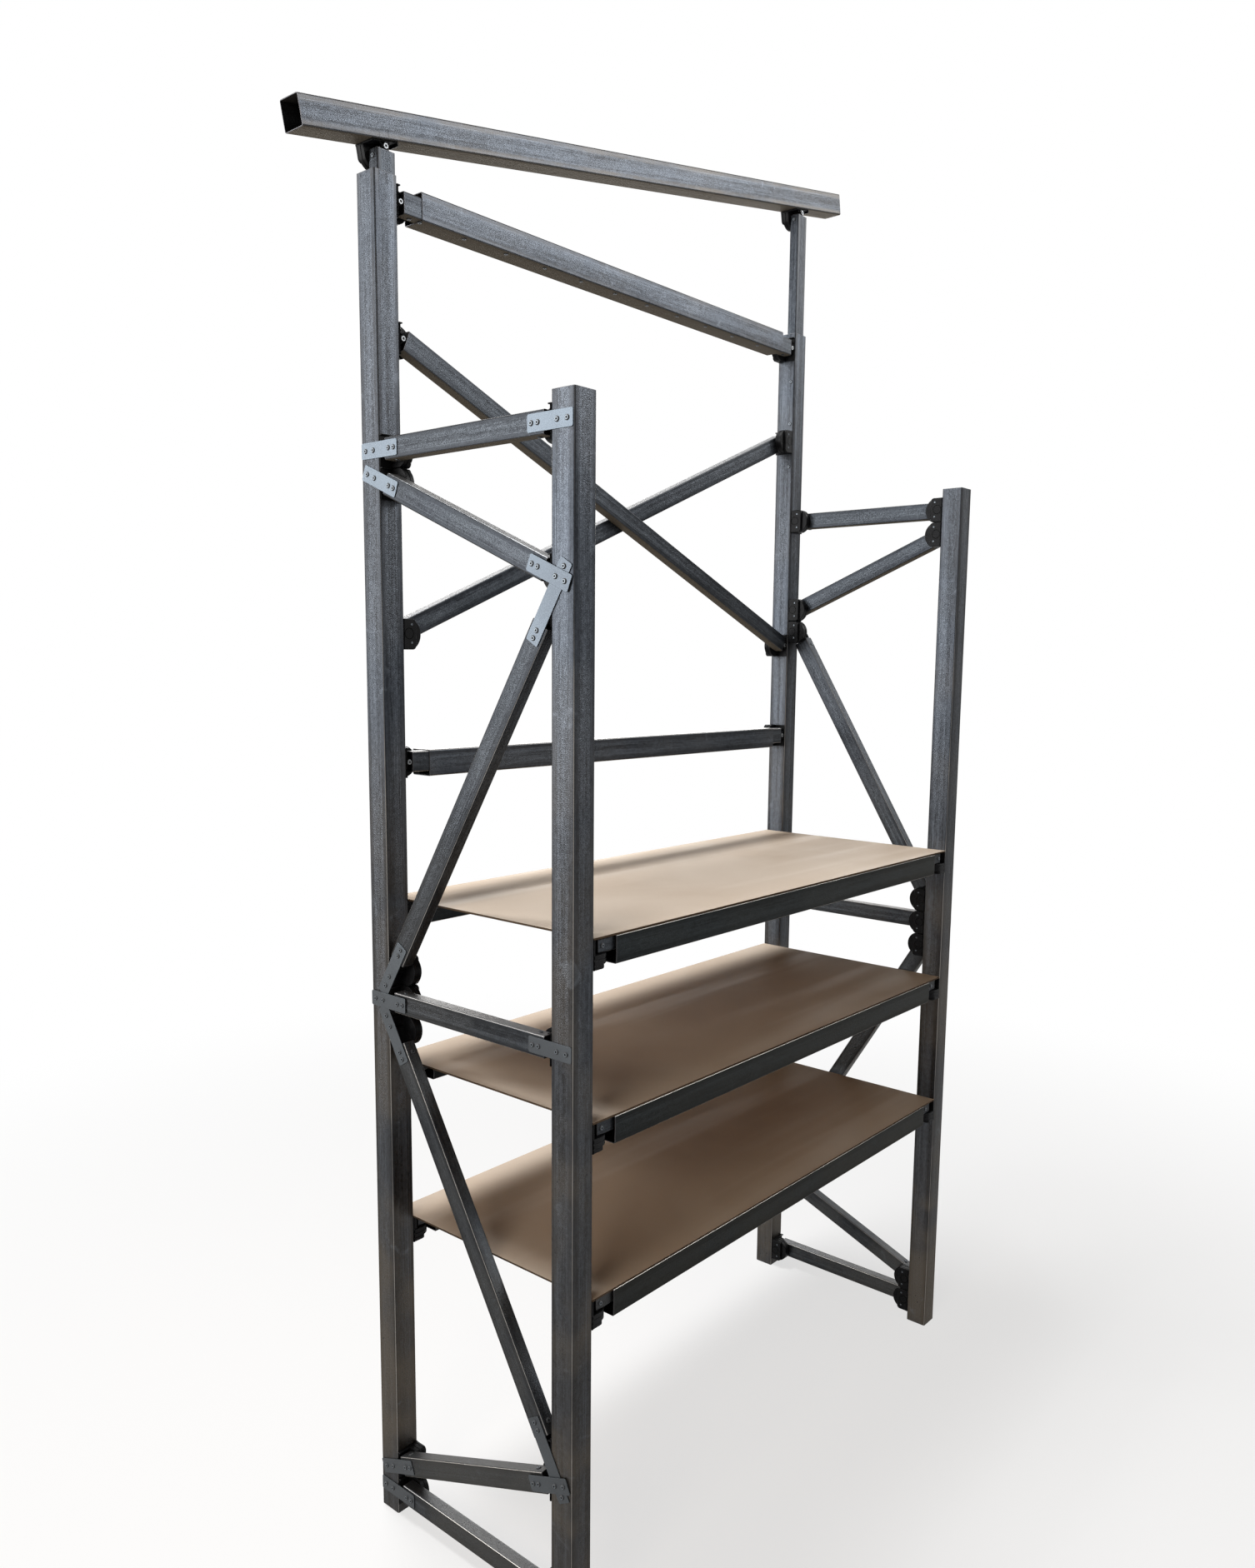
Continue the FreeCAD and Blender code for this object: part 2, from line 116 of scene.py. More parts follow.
@dataclass(frozen=True)
class HingeSizes:
    """Sizes of the moulded hinge connector. u is out of the post, v along it, w across it."""

    pivot_offset: float = 0.0083
    base_thickness: float = 0.003
    above: float = 0.024
    below: float = 0.026
    hook_reach: float = 0.007
    hook_thickness: float = 0.002
    cheek_reach: float = 0.040
    cheek_straight: float = 0.022
    cheek_start: float = 0.0224
    cheek_end: float = 0.038
    cheek_screw_reach: float = 0.0165
    cheek_screw_share: float = 0.62
    groove_share: float = 0.42
    groove_depth: float = 0.0009
    groove_width: float = 0.0012
    groove_floor: float = 0.0018
    hub_reach: float = 0.0265
    hub_rounding: float = 0.007
    hub_edge: float = 0.0014
    hub_sink: float = 0.0009
    ring_centre: float = 0.011
    ring_radius: float = 0.0088
    ring_rise: float = 0.00025
    rib_stop: float = 0.0016
    ear_seat: float = 0.0016
    ear_thickness: float = 0.0028
    ear_radius: float = 0.0055
    ear_root: float = 0.010
    boss_radius: float = 0.0038
    bar_end_clearance: float = 0.007
    least_bar_gap: float = 0.006
    knuckle_radius: float = 0.005
    knuckle_edge: float = 0.0003
    running_clearance: float = 0.0003
    plug_length: float = 0.030
    plug_margin: float = 0.0018
    plug_corner: float = 0.0012
    plug_edge: float = 0.0008
    edge: float = 0.0007
    rounding: float = 0.0006
    soft_edge: float = 0.0005
    bite: float = 0.0004
    fine_edge: float = 0.0002
    finest_edge: float = 0.0001
    overlap: float = 0.001
    rim_chords: int = 22
    hub_chords: int = 8
    ear_chords: int = 16
    boss_chords: int = 23
    knuckle_chords: int = 14


TUBE = Stock(0.0444, 0.0444, 0.0012, 0.003)
BAR = Stock(0.0345, 0.022, 0.0012, 0.0024)
HINGE = HingeSizes()
FRAME_WIDTH = 1.220
FRAME_DEPTH = 0.466
LEFT = -FRAME_WIDTH / 2
FRONT = -FRAME_DEPTH / 2
REAR = FRAME_DEPTH / 2
LEFT_INNER = LEFT + TUBE.width
REAR_INNER = REAR - TUBE.width
FRONT_INNER = FRONT + TUBE.width
CONNECTOR_PITCH = 0.051
SMOOTH_TURN = math.radians(32)
WELD_DIGITS = 6
SEED = 29
LARGEST_LOT = 4.0


# ---- outlines and mesh drafts
@dataclass
class Outline:
    """Closed counter-clockwise outline with an outward normal at each point."""

    points: list[Pair] = field(default_factory=list)
    normals: list[Pair] = field(default_factory=list)

    def inset(self, distance: float) -> list[Pair]:
        """Points moved inwards along their normals."""
        return [(x - nx * distance, y - ny * distance)
                for (x, y), (nx, ny) in zip(self.points, self.normals)]


def filleted(corners: Sequence[Pair], radius: float, steps: int = 4) -> Outline:
    """Outline of a polygon whose sharp corners are rounded.

    Args:
        corners: polygon corners, counter-clockwise.
        radius: fillet radius of each sharp corner.
        steps: chords in each fillet.

    Returns:
        The outline, with smooth normals over chords that turn only a little.
    """
    outline = Outline()
    for index, corner in enumerate(corners):
        here = Vector(corner)
        first = (here - Vector(corners[index - 1])).normalized()
        second = (Vector(corners[(index + 1) % len(corners)]) - here).normalized()
        turn = math.atan2(first.x * second.y - first.y * second.x, first.dot(second))
        start = math.atan2(-first.x, first.y)
        if abs(turn) < SMOOTH_TURN:
            outline.points.append((here.x, here.y))
            outline.normals.append((math.cos(start + turn / 2), math.sin(start + turn / 2)))
            continue
        sign = 1 if turn > 0 else -1
        normal = Vector((first.y, -first.x))
        centre = here - first * (radius * math.tan(abs(turn) / 2)) - normal * radius * sign
        for step in range(steps + 1):
            angle = start + turn * step / steps
            facing = Vector((math.cos(angle), math.sin(angle)))
            outline.points.append(tuple(centre + facing * radius * sign))
            outline.normals.append(tuple(facing))
    return outline


def block(left: float, low: float, right: float, high: float, radius: float,
          steps: int = 4) -> Outline:
    """Rounded rectangle between four sides."""
    return filleted([(left, low), (right, low), (right, high), (left, high)], radius, steps)


def rectangle(width: float, height: float, radius: float, steps: int = 5) -> Outline:
    """Rounded rectangle centred on the origin, its first corner at the lower right."""
    x, y = width / 2, height / 2
    return filleted([(x, -y), (x, y), (-x, y), (-x, -y)], radius, steps)


def arc(centre: Pair, radius: float, first: float, last: float, steps: int) -> list[Pair]:
    """Points along an arc, angles in degrees."""
    angles = [math.radians(first + (last - first) * step / steps) for step in range(steps + 1)]
    return [(centre[0] + radius * math.cos(a), centre[1] + radius * math.sin(a)) for a in angles]


def axes_matrix(origin: Vector, x_axis: Vector, y_axis: Vector, z_axis: Vector) -> Matrix:
    """Lays local X, Y and Z along three directions.

    Args:
        origin: where the local origin goes.
        x_axis: direction of local X.
        y_axis: direction of local Y.
        z_axis: direction of local Z.

    Returns:
        The matrix.
    """
    matrix = Matrix((x_axis, y_axis, z_axis)).transposed().to_4x4()
    matrix.translation = origin
    return matrix


def linked(name: str, data: bpy.types.ID) -> Object:
    """Makes an object of mesh, camera or lamp data.

    Args:
        name: its name.
        data: what it shows.

    Returns:
        The object, linked to the scene.
    """
    made = bpy.data.objects.new(name, data)
    bpy.context.scene.collection.objects.link(made)
    return made


@dataclass
class Face:
    """Corners of one face, with the normal, lay and texture place of each."""

    corners: Sequence[Vector]
    normals: Sequence[Vector]
    lays: Sequence[Triple] = ()
    uvs: Sequence[Pair] = ()
    material: int = 0

    def __post_init__(self) -> None:
        """Fills in the lay and texture place of a plain face."""
        self.lays = self.lays or [(0.0, 0.0, Layer.WALL.value)] * len(self.corners)
        self.uvs = self.uvs or [(p.x, p.y) for p in self.corners]


class MeshDraft:
    """Faces gathered before they become one mesh."""

    def __init__(self) -> None:
        """Starts empty."""
        self.faces: list[Face] = []

    def slab(self, outline: Outline, low: float, high: float, bevel: float) -> None:
        """Adds a closed prism along Z with bevelled rims.

        Args:
            outline: its cross-section.
            low: lower end.
            high: upper end.
            bevel: width of the rounded rims.
        """
        count = len(outline.points)
        inner = outline.inset(bevel)
        sides = [Vector((nx, ny, 0)) for nx, ny in outline.normals]
        rings = [([Vector((x, y, z)) for x, y in points], normals) for points, z, normals in (
            (inner, low, [-Z] * count), (outline.points, low + bevel, sides),
            (outline.points, high - bevel, sides), (inner, high, [Z] * count))]
        for (lower, lower_normals), (upper, upper_normals) in zip(rings, rings[1:]):
            for i in range(count):
                j = (i + 1) % count
                self.faces.append(Face(
                    [lower[i], lower[j], upper[j], upper[i]],
                    [lower_normals[i], lower_normals[j], upper_normals[j], upper_normals[i]]))
        self.faces += [Face(rings[0][0][::-1], [-Z] * count), Face(rings[3][0], [Z] * count)]

    def place(self, other: "MeshDraft", matrix: Matrix) -> None:
        """Adds a copy of another draft, turned the right way out where the matrix mirrors it.

        Args:
            other: the draft to copy.
            matrix: where the copy goes.
        """
        turn = matrix.to_3x3()
        order = -1 if turn.determinant() < 0 else 1
        self.faces += [
            Face([matrix @ corner for corner in face.corners[::order]],
                 [turn @ normal for normal in face.normals[::order]],
                 face.lays[::order], face.uvs[::order], face.material) for face in other.faces]

    def to_object(self, name: str, *materials: Material) -> Object:
        """Makes the object.

        Args:
            name: piece name.
            materials: one per material index.

        Returns:
            The new object, at the origin, without faces of no area.
        """
        places: dict[tuple, int] = {}
        unique: list[Vector] = []
        kept: list[Face] = []
        welded: list[list[int]] = []
        for face in self.faces:
            indices = []
            for corner in face.corners:
                key = tuple(round(value, WELD_DIGITS) for value in corner)
                if key not in places:
                    places[key] = len(unique)
                    unique.append(corner)
                indices.append(places[key])
            if len(set(indices)) == len(indices):
                kept.append(face)
                welded.append(indices)
        mesh = bpy.data.meshes.new(name)
        mesh.from_pydata(unique, [], welded)
        for material in materials:
            mesh.materials.append(material)
        mesh.polygons.foreach_set("material_index", [face.material for face in kept])
        mesh.polygons.foreach_set("use_smooth", [True] * len(kept))
        lay = mesh.attributes.new("lay", "FLOAT_VECTOR", "CORNER")
        lays = np.array([value for face in kept for value in face.lays], float)
        lay.data.foreach_set("vector", lays.ravel())
        uvs = np.array([value for face in kept for value in face.uvs], float)
        mesh.uv_layers.new(name="UVMap").data.foreach_set("uv", uvs.ravel())
        mesh.normals_split_custom_set([tuple(n) for face in kept for n in face.normals])
        return linked(name, mesh)


# ---- shader node helpers
class Wire:
    """Output of a node. Its sums, differences and products are Math nodes."""

    def __init__(self, sheet: "NodeSheet", socket: bpy.types.NodeSocket) -> None:
        """Takes one output of the sheet's tree."""
        self.sheet = sheet
        self.socket = socket

    def __add__(self, other: object) -> "Wire":
        """Sum."""
        return self.sheet.math("ADD", self, other)

    def __mul__(self, other: object) -> "Wire":
        """Product."""
        return self.sheet.math("MULTIPLY", self, other)

    def __sub__(self, other: object) -> "Wire":
        """Difference."""
        return self.sheet.math("SUBTRACT", self, other)

    def __rsub__(self, other: float) -> "Wire":
        """Difference from a number."""
        return self.sheet.math("SUBTRACT", other, self)

    def __abs__(self) -> "Wire":
        """Size without its sign."""
        return self.sheet.math("ABSOLUTE", self)

    def ramp(self, low: float, high: float, start: float = 0.0, end: float = 1.0) -> "Wire":
        """Smooth step from the range low to high to the range start to end, clamped."""
        return self.sheet.value("ShaderNodeMapRange", self, low, high, start, end,
                                interpolation_type="SMOOTHSTEP", clamp=True)

    def noise(self, scale: object, detail: float = 2.0, roughness: float = 0.5,
              distortion: float = 0.0) -> "Wire":
        """Noise from 0 to 1 over this vector."""
        return self.sheet.value("ShaderNodeTexNoise", named={
            "Vector": self, "Scale": scale, "Detail": detail, "Roughness": roughness,
            "Distortion": distortion})

    def scaled(self, *factors: float) -> "Wire":
        """This vector times three factors."""
        return self.sheet.value("ShaderNodeVectorMath", self, factors, operation="MULTIPLY")

    def split(self) -> list["Wire"]:
        """Three values of this vector."""
        parts = self.sheet.node("ShaderNodeSeparateXYZ", self).outputs
        return [Wire(self.sheet, part) for part in parts]


class NodeSheet:
    """Short-hand for wiring one node tree."""

    SPACING = 180

    def __init__(self, tree: bpy.types.NodeTree) -> None:
        """Takes an empty tree."""
        self.tree = tree

    def put(self, socket: bpy.types.NodeSocket, value: object) -> None:
        """Links an output to a socket, or sets the socket's own value.

        Args:
            socket: the input.
            value: a wire, an output socket or a constant.
        """
        value = value.socket if isinstance(value, Wire) else value
        if isinstance(value, bpy.types.NodeSocket):
            self.tree.links.new(value, socket)
        else:
            socket.default_value = value

    def node(self, kind: str, *values: object, named: dict | None = None,
             **settings: object) -> Node:
        """Adds a node.

        Args:
            kind: its type.
            values: what its first inputs get, in order.
            named: what other inputs get, by name or index.
            settings: its properties.

        Returns:
            The node.
        """
        made = self.tree.nodes.new(kind)
        made.location.x = self.SPACING * len(self.tree.nodes)
        for key, value in settings.items():
            setattr(made, key, value)
        for key, value in {**dict(enumerate(values)), **(named or {})}.items():
            self.put(made.inputs[key], value)
        return made

    def value(self, kind: str, *values: object, output: int | str = 0, **rest: object) -> Wire:
        """Wire from one output of a new node."""
        return Wire(self, self.node(kind, *values, **rest).outputs[output])

    def math(self, operation: str, *values: object) -> Wire:
        """Math node."""
        return self.value("ShaderNodeMath", *values, operation=operation)

    def mix(self, share: object, first: object, second: object) -> Wire:
        """Colour mix."""
        named = {0: share, 6: first, 7: second}
        return self.value("ShaderNodeMix", named=named, output=2, data_type="RGBA")

    def combined(self, *values: object) -> Wire:
        """Vector from three values."""
        return self.value("ShaderNodeCombineXYZ", *values)

    def group(self, tree: bpy.types.NodeTree, *values: object) -> list[Wire]:
        """Places a node group; returns a wire for each of its outputs."""
        placed = self.node("ShaderNodeGroup", *values, node_tree=tree)
        return [Wire(self, socket) for socket in placed.outputs]


def node_group(name: str, kind: str, inputs: dict[str, str],
               outputs: dict[str, str]) -> tuple[NodeSheet, dict[str, Wire], Node]:
    """Starts a node group.

    Args:
        name: its name.
        kind: Shader or Geometry.
        inputs: socket type of each input, by name.
        outputs: socket type of each output, by name.

    Returns:
        Its sheet, a wire for each input, by name, and its output node.
    """
    tree = bpy.data.node_groups.new(name, kind + "NodeTree")
    for way, sockets in (("INPUT", inputs), ("OUTPUT", outputs)):
        for label, socket in sockets.items():
            tree.interface.new_socket(name=label, in_out=way, socket_type="NodeSocket" + socket)
    sheet = NodeSheet(tree)
    given = {socket.name: Wire(sheet, socket) for socket in sheet.node("NodeGroupInput").outputs}
    return sheet, given, sheet.node("NodeGroupOutput")


def effect(name: str, inputs: dict[str, str],
           *outputs: str) -> tuple[NodeSheet, dict[str, Wire], Node]:
    """Starts a shader effect whose outputs are all numbers."""
    return node_group(name, "Shader", inputs, dict.fromkeys(outputs, "Float"))


@dataclass(frozen=True)
class Effects:
    """The node groups that several finishes share. A Noise is scale, detail, roughness, warp."""

    pebble_noise: Noise = (1.0, 0.45, 0.35)
    # Pale tops and dark valleys are painted highlight and painted shade of the hammered relief.
    pebble_highlit_tops: Pair = (0.42, 0.66)
    pebble_shaded_valleys: Pair = (0.46, 0.34)
    flat_share: float = 0.2
    broad_grain: Triple = (90.0, 1.6, 9.0)
    fine_grain: Triple = (620.0, 5.0, 5.0)
    even_noise: Noise = (1.0, 2.0, 0.55)
    drawn_noise: Noise = (1.0, 2.0, 0.55, 0.3)
    broad_share: float = 0.65
    seams: tuple[Pair, ...] = ((0.0085, 0.0007), (0.0132, 0.0006))
    seam_core: float = 0.3
    seam_breaks: Triple = (30.0, 9.0, 7.0)
    drawn_grain: Triple = (260.0, 26.0, 5.0)
    mottle_grain: Triple = (190.0, 120.0, 5.0)
    contrast: Pair = (0.4, 0.6)
    cloud: Noise = (4.5, 3.0, 0.55, 0.3)
    smudge: Noise = (21.0, 4.0, 0.6, 0.8)
    smudge_range: Pair = (0.62, 0.74)
    pit: Noise = (170.0, 1.0)
    pit_range: Pair = (0.70, 0.76)
    pitted_places: Noise = (11.0, 1.0)
    pitted_range: Pair = (0.45, 0.6)

    def pebble(self) -> bpy.types.NodeTree:
        """Hammered zinc, stronger where the band mask says so.

        Returns:
            Group with the height of the pebbles, a painted highlight on their tops and painted
            shade in their valleys.
        """
        sheet, given, end = effect(
            "hammered zinc", {"Vector": "Vector", "Size": "Float", "Band": "Float"},
            "Height", "Tops", "Valleys")
        scale = sheet.math("DIVIDE", 1.0, given["Size"])
        height = given["Vector"].noise(scale, *self.pebble_noise)
        reach = given["Band"] * (1.0 - self.flat_share) + self.flat_share
        sheet.put(end.inputs[0], height * reach)
        sheet.put(end.inputs[1], height.ramp(*self.pebble_highlit_tops) * reach)
        sheet.put(end.inputs[2], height.ramp(*self.pebble_shaded_valleys) * reach)
        return sheet.tree

    def streaks(self) -> bpy.types.NodeTree:
        """Marks of the rolling mill along a tube.

        Returns:
            Group with broad and fine streaks, two broken seam lines painted as highlights of the
            roll-formed ridges, and a mottle.
        """
        labels = ("Around", "Along", "Across", "Half Width", "Lot")
        sheet, given, end = effect(
            "mill streaks", dict.fromkeys(labels, "Float"), "Streak", "Seam", "Mottle")
        place = sheet.combined(given["Around"], given["Along"], given["Lot"])
        broad = place.scaled(*self.broad_grain).noise(*self.even_noise)
        fine = place.scaled(*self.fine_grain).noise(1.0, 1.0)
        sheet.put(end.inputs[0], broad * self.broad_share + fine * (1.0 - self.broad_share))
        edge = given["Half Width"] - given["Across"]
        lines = [abs(edge - distance).ramp(width * self.seam_core, width, 1.0, 0.0)
                 for distance, width in self.seams]
        broken = place.scaled(*self.seam_breaks).noise(1.0).ramp(*self.contrast)
        sheet.put(end.inputs[1], sheet.math("MAXIMUM", *lines) * broken)
        drawn = place.scaled(*self.drawn_grain).noise(*self.drawn_noise)
        grainy = place.scaled(*self.mottle_grain).noise(*self.even_noise)
        sheet.put(end.inputs[2], (drawn * 0.5 + grainy * 0.5).ramp(*self.contrast))
        return sheet.tree

    def patches(self) -> bpy.types.NodeTree:
        """Handling wear.

        Returns:
            Group with cloudy patches, pale smudges and small dark pits.
        """
        sheet, given, end = effect(
            "handling wear", {"Vector": "Vector"}, "Cloud", "Smudge", "Pit")
        vector = given["Vector"]
        sheet.put(end.inputs[0], vector.noise(*self.cloud))
        sheet.put(end.inputs[1], vector.noise(*self.smudge).ramp(*self.smudge_range))
        places = vector.noise(*self.pitted_places).ramp(*self.pitted_range)
        sheet.put(end.inputs[2], vector.noise(*self.pit).ramp(*self.pit_range) * places)
        return sheet.tree


PEBBLE = Effects().pebble()
STREAKS = Effects().streaks()
PATCHES = Effects().patches()


def cleared(owner: Material | bpy.types.World) -> NodeSheet:
    """Empties the nodes of a material or world.

    Args:
        owner: the material or world.

    Returns:
        Its empty sheet.
    """
    owner.use_nodes = True
    owner.node_tree.nodes.clear()
    return NodeSheet(owner.node_tree)


class Surface:
    """A Principled material under construction."""

    def __init__(self, name: str) -> None:
        """Wires the shader to the output."""
        self.material = bpy.data.materials.new(name)
        self.sheet = cleared(self.material)
        self.shader = self.sheet.node("ShaderNodeBsdfPrincipled")
        self.sheet.node("ShaderNodeOutputMaterial", self.shader.outputs[0])
        self.place = self.sheet.value("ShaderNodeTexCoord", output="Object")

    def layered(self, colour: Wire, *layers: tuple[object, Colour]) -> Wire:
        """Lays colours over one another.

        Args:
            colour: the ground.
            layers: share and colour of each layer, from the ground up.

        Returns:
            The mixed colour.
        """
        for share, over in layers:
            colour = self.sheet.mix(share, colour, over)
        return colour

    def finish(self, height: Wire, relief: Pair, inputs: dict[str, object]) -> Material:
        """Wires the shader.

        Args:
            height: what shapes the normal.
            relief: distance and strength of that height.
            inputs: link or constant of the shader's inputs, by name.

        Returns:
            The finished material.
        """
        bump = self.sheet.node("ShaderNodeBump", named={
            "Height": height, "Distance": relief[0], "Strength": relief[1]})
        for label, value in {**inputs, "Normal": bump.outputs[0]}.items():
            self.sheet.put(self.shader.inputs[label], value)
        return self.material


# ---- finishes
@dataclass(frozen=True)
class GalvanisedFinish:
    """Zinc-coated tube: dull blue-grey, a hammered band down each face, mill streaks and wear.

    A Ramp goes from its third to its fourth number while what it follows goes from its first to
    its second; the numbers named share say how much of a layer's colour shows. Painted highlight:
    pale pebble tops, pale seam lines, paler upward faces (also dust) and a pale line along the
    corners (also edge wear). Painted shade: dark pebble valleys, darker undersides, dark rounded
    corners and a near-black bore. Painted warm light: a warmer tone low down and on the flat
    strips high up.
    """

    name: str
    base: Colour
    pale: Colour
    dark: Colour
    warm: Colour
    half_width: float
    dust_and_sheen_share: float = 0.5
    underside_shade: Colour = (0.098, 0.080, 0.057, 1.0)
    dust_and_sheen: Colour = (0.44, 0.45, 0.47, 1.0)
    # Colour of rubbed corners, which also stands for a painted highlight along them.
    rubbed: Colour = (0.48, 0.455, 0.425, 1.0)
    cut: Colour = (0.07, 0.07, 0.075, 1.0)
    # Near-black inside of the tube: painted shade.
    bore: Colour = (0.012, 0.012, 0.014, 1.0)
    tint: Colour = (0.52, 0.50, 0.47, 1.0)
    pebble_size: float = 0.0013
    band_wander: float = 0.010
    band_core: float = 0.38
    band_reach: float = 0.72
    band_patches: Ramp = (0.3, 0.6, 0.45, 1.0)
    streak_range: Pair = (0.40, 0.60)
    streak_share: float = 0.6
    flat_shade: Ramp = (1.95, 2.35, 0.42, 0.0)
    painted_warm_low: Ramp = (0.1, 1.6, 0.85, 0.1)
    painted_warm_high: Ramp = (2.05, 2.4, 0.0, 0.4)
    # Painted highlight on the pebble tops, weaker low down.
    tops_low: Ramp = (0.2, 1.9, 0.3, 1.0)
    dust_and_sheen_low: Ramp = (0.2, 1.8, 0.22, 1.0)
    rub_and_sheen_low: Ramp = (1.35, 1.7, 0.85, 0.12)
    painted_warm_patches: Ramp = (0.36, 0.6, 0.25, 1.0)
    rub_and_sheen_patches: Ramp = (0.3, 0.55, 0.4, 1.0)
    facing_down: Ramp = (-0.9, -0.6, 1.0, 0.0)
    facing_up: Pair = (0.55, 0.85)
    cut_zone: Ramp = (0.008, 0.02, 1.0, 0.0)
    bore_limit: float = -0.5
    tops_share: float = 0.14
    tops_tone: float = 0.28
    shaded_valley_share: float = 0.3
    smudge_share: float = 0.18
    seam_share: float = 0.2
    pit_share: float = 0.6
    corner_shade_share: float = 0.3
    corner_shade_zone: Pair = (0.0042, 0.0016)
    rub_and_sheen_zone: Pair = (0.0017, 0.0006)
    underside_shade_share: float = 0.8
    bore_shade_share: float = 0.75
    metallic: float = 0.62
    specular: float = 0.15
    roughness: float = 0.22
    rough_cloud: float = 0.14
    rough_tone: float = 0.08
    rough_under: float = 0.4
    streak_relief: float = 0.12
    relief: Pair = (0.0006, 0.8)

    def build(self) -> Material:
        """Makes the material.

        Returns:
            The material.
        """
        surface = Surface(self.name)
        sheet, place, half = surface.sheet, surface.place, self.half_width
        lay = sheet.value("ShaderNodeAttribute", output="Vector", attribute_name="lay")
        across, lot, layer = lay.split()
        around, along, _ = sheet.value("ShaderNodeUVMap", uv_map="UVMap").split()
        height = place.split()[2]
        facing = sheet.value("ShaderNodeNewGeometry", output="Normal").split()[2]
        cloud, smudge, pit = sheet.group(PATCHES, place)
        streak, seam_highlight, mottle = sheet.group(STREAKS, around, along, across, half, lot)
        off_centre = abs(across + (cloud - 0.5) * self.band_wander)
        band = off_centre.ramp(half * self.band_core, half * self.band_reach, 1.0, 0.0)
        flat = 1.0 - band
        pebbles, highlit_tops, shaded_valleys = sheet.group(
            PEBBLE, place, self.pebble_size, band * cloud.ramp(*self.band_patches))
        tone = (streak.ramp(*self.streak_range) * self.streak_share
                + mottle * (1.0 - self.streak_share))
        # Warmer, paler tone low down and on the flat strips high up: painted warm light.
        painted_warm_light = sheet.math("MAXIMUM", height.ramp(*self.painted_warm_low),
                          height.ramp(*self.painted_warm_high) * flat)
        # Downward faces: painted shade, a darker brown underneath.
        below = facing.ramp(*self.facing_down)
        # Upward faces paler: dust and a painted highlight, both weaker low down.
        above = facing.ramp(*self.facing_up) * height.ramp(*self.dust_and_sheen_low)
        corner, rub_and_sheen = (abs(across).ramp(*(half - inset for inset in zone))
                       for zone in (self.corner_shade_zone, self.rub_and_sheen_zone))
        colour = surface.layered(
            sheet.mix(tone, self.dark, self.base),
            (flat * height.ramp(*self.flat_shade), self.dark),
            # Warmer tone: painted warm light.
            (cloud.ramp(*self.painted_warm_patches) * painted_warm_light, self.warm),
            # Pale pebble tops: painted highlight, weaker low down.
            (highlit_tops * (tone * self.tops_tone + self.tops_share) * height.ramp(*self.tops_low),
             self.pale),
            # Dark pebble valleys: painted shade.
            (shaded_valleys * self.shaded_valley_share, self.dark),
            (smudge * self.smudge_share, self.pale),
            # Pale seam lines: painted highlight along the roll-formed ridges.
            (seam_highlight * self.seam_share, self.pale),
            (pit * self.pit_share, self.dark),
            # Dark rounded corners: painted dark reflection.
            (corner * self.corner_shade_share, self.dark),
            # Darker undersides: painted shade.
            (below * self.underside_shade_share, self.underside_shade),
            # Paler upward faces: dust and painted highlight.
            (above * self.dust_and_sheen_share, self.dust_and_sheen),
            # Pale line along the corners: edge wear and a painted highlight, stronger low down.
            (rub_and_sheen * height.ramp(*self.rub_and_sheen_low) * cloud.ramp(*self.rub_and_sheen_patches), self.rubbed),
            (abs(layer).ramp(*self.cut_zone), self.cut),
            # Near-black bore: painted shade.
            (sheet.math("LESS_THAN", layer, self.bore_limit) * self.bore_shade_share, self.bore))
        rough = (cloud * self.rough_cloud + self.roughness
                 + tone * self.rough_tone + below * self.rough_under)
        return surface.finish(pebbles + streak * self.streak_relief, self.relief, {
            "Base Color": colour, "Metallic": self.metallic, "Roughness": rough,
            "Specular IOR Level": self.specular, "Specular Tint": self.tint})


@dataclass(frozen=True)
class PlateFinish:
    """Bright zinc-coated plate with a fine even grain, a painted highlight on its pebble tops,
    darker low down.
    """

    name: str
    base: Colour
    pale: Colour
    dark: Colour
    low_dark: Colour = (0.035, 0.037, 0.038, 1)
    pebble_size: float = 0.0014
    pebble_band: float = 0.35
    tops_share: float = 0.3
    pit_share: float = 0.5
    low_darkening: Ramp = (0.9, 1.45, 0.7, 0.0)
    cloud_range: Pair = (0.35, 0.65)
    metallic: float = 0.7
    roughness: float = 0.38
    rough_cloud: float = 0.12
    relief: Pair = (0.0004, 0.35)

    def build(self) -> Material:
        """Makes the material.

        Returns:
            The material.
        """
        surface = Surface(self.name)
        sheet, place = surface.sheet, surface.place
        cloud, _, pit = sheet.group(PATCHES, place)
        pebbles, highlit_tops, _ = sheet.group(PEBBLE, place, self.pebble_size, self.pebble_band)
        colour = surface.layered(
            sheet.mix(cloud.ramp(*self.cloud_range), self.dark, self.base),
            # Pale pebble tops: painted highlight.
            (highlit_tops * self.tops_share, self.pale), (pit * self.pit_share, self.dark),
            # Darker low down.
            (place.split()[2].ramp(*self.low_darkening), self.low_dark))
        return surface.finish(pebbles, self.relief, {
            "Base Color": colour, "Metallic": self.metallic,
            "Roughness": cloud * self.rough_cloud + self.roughness})


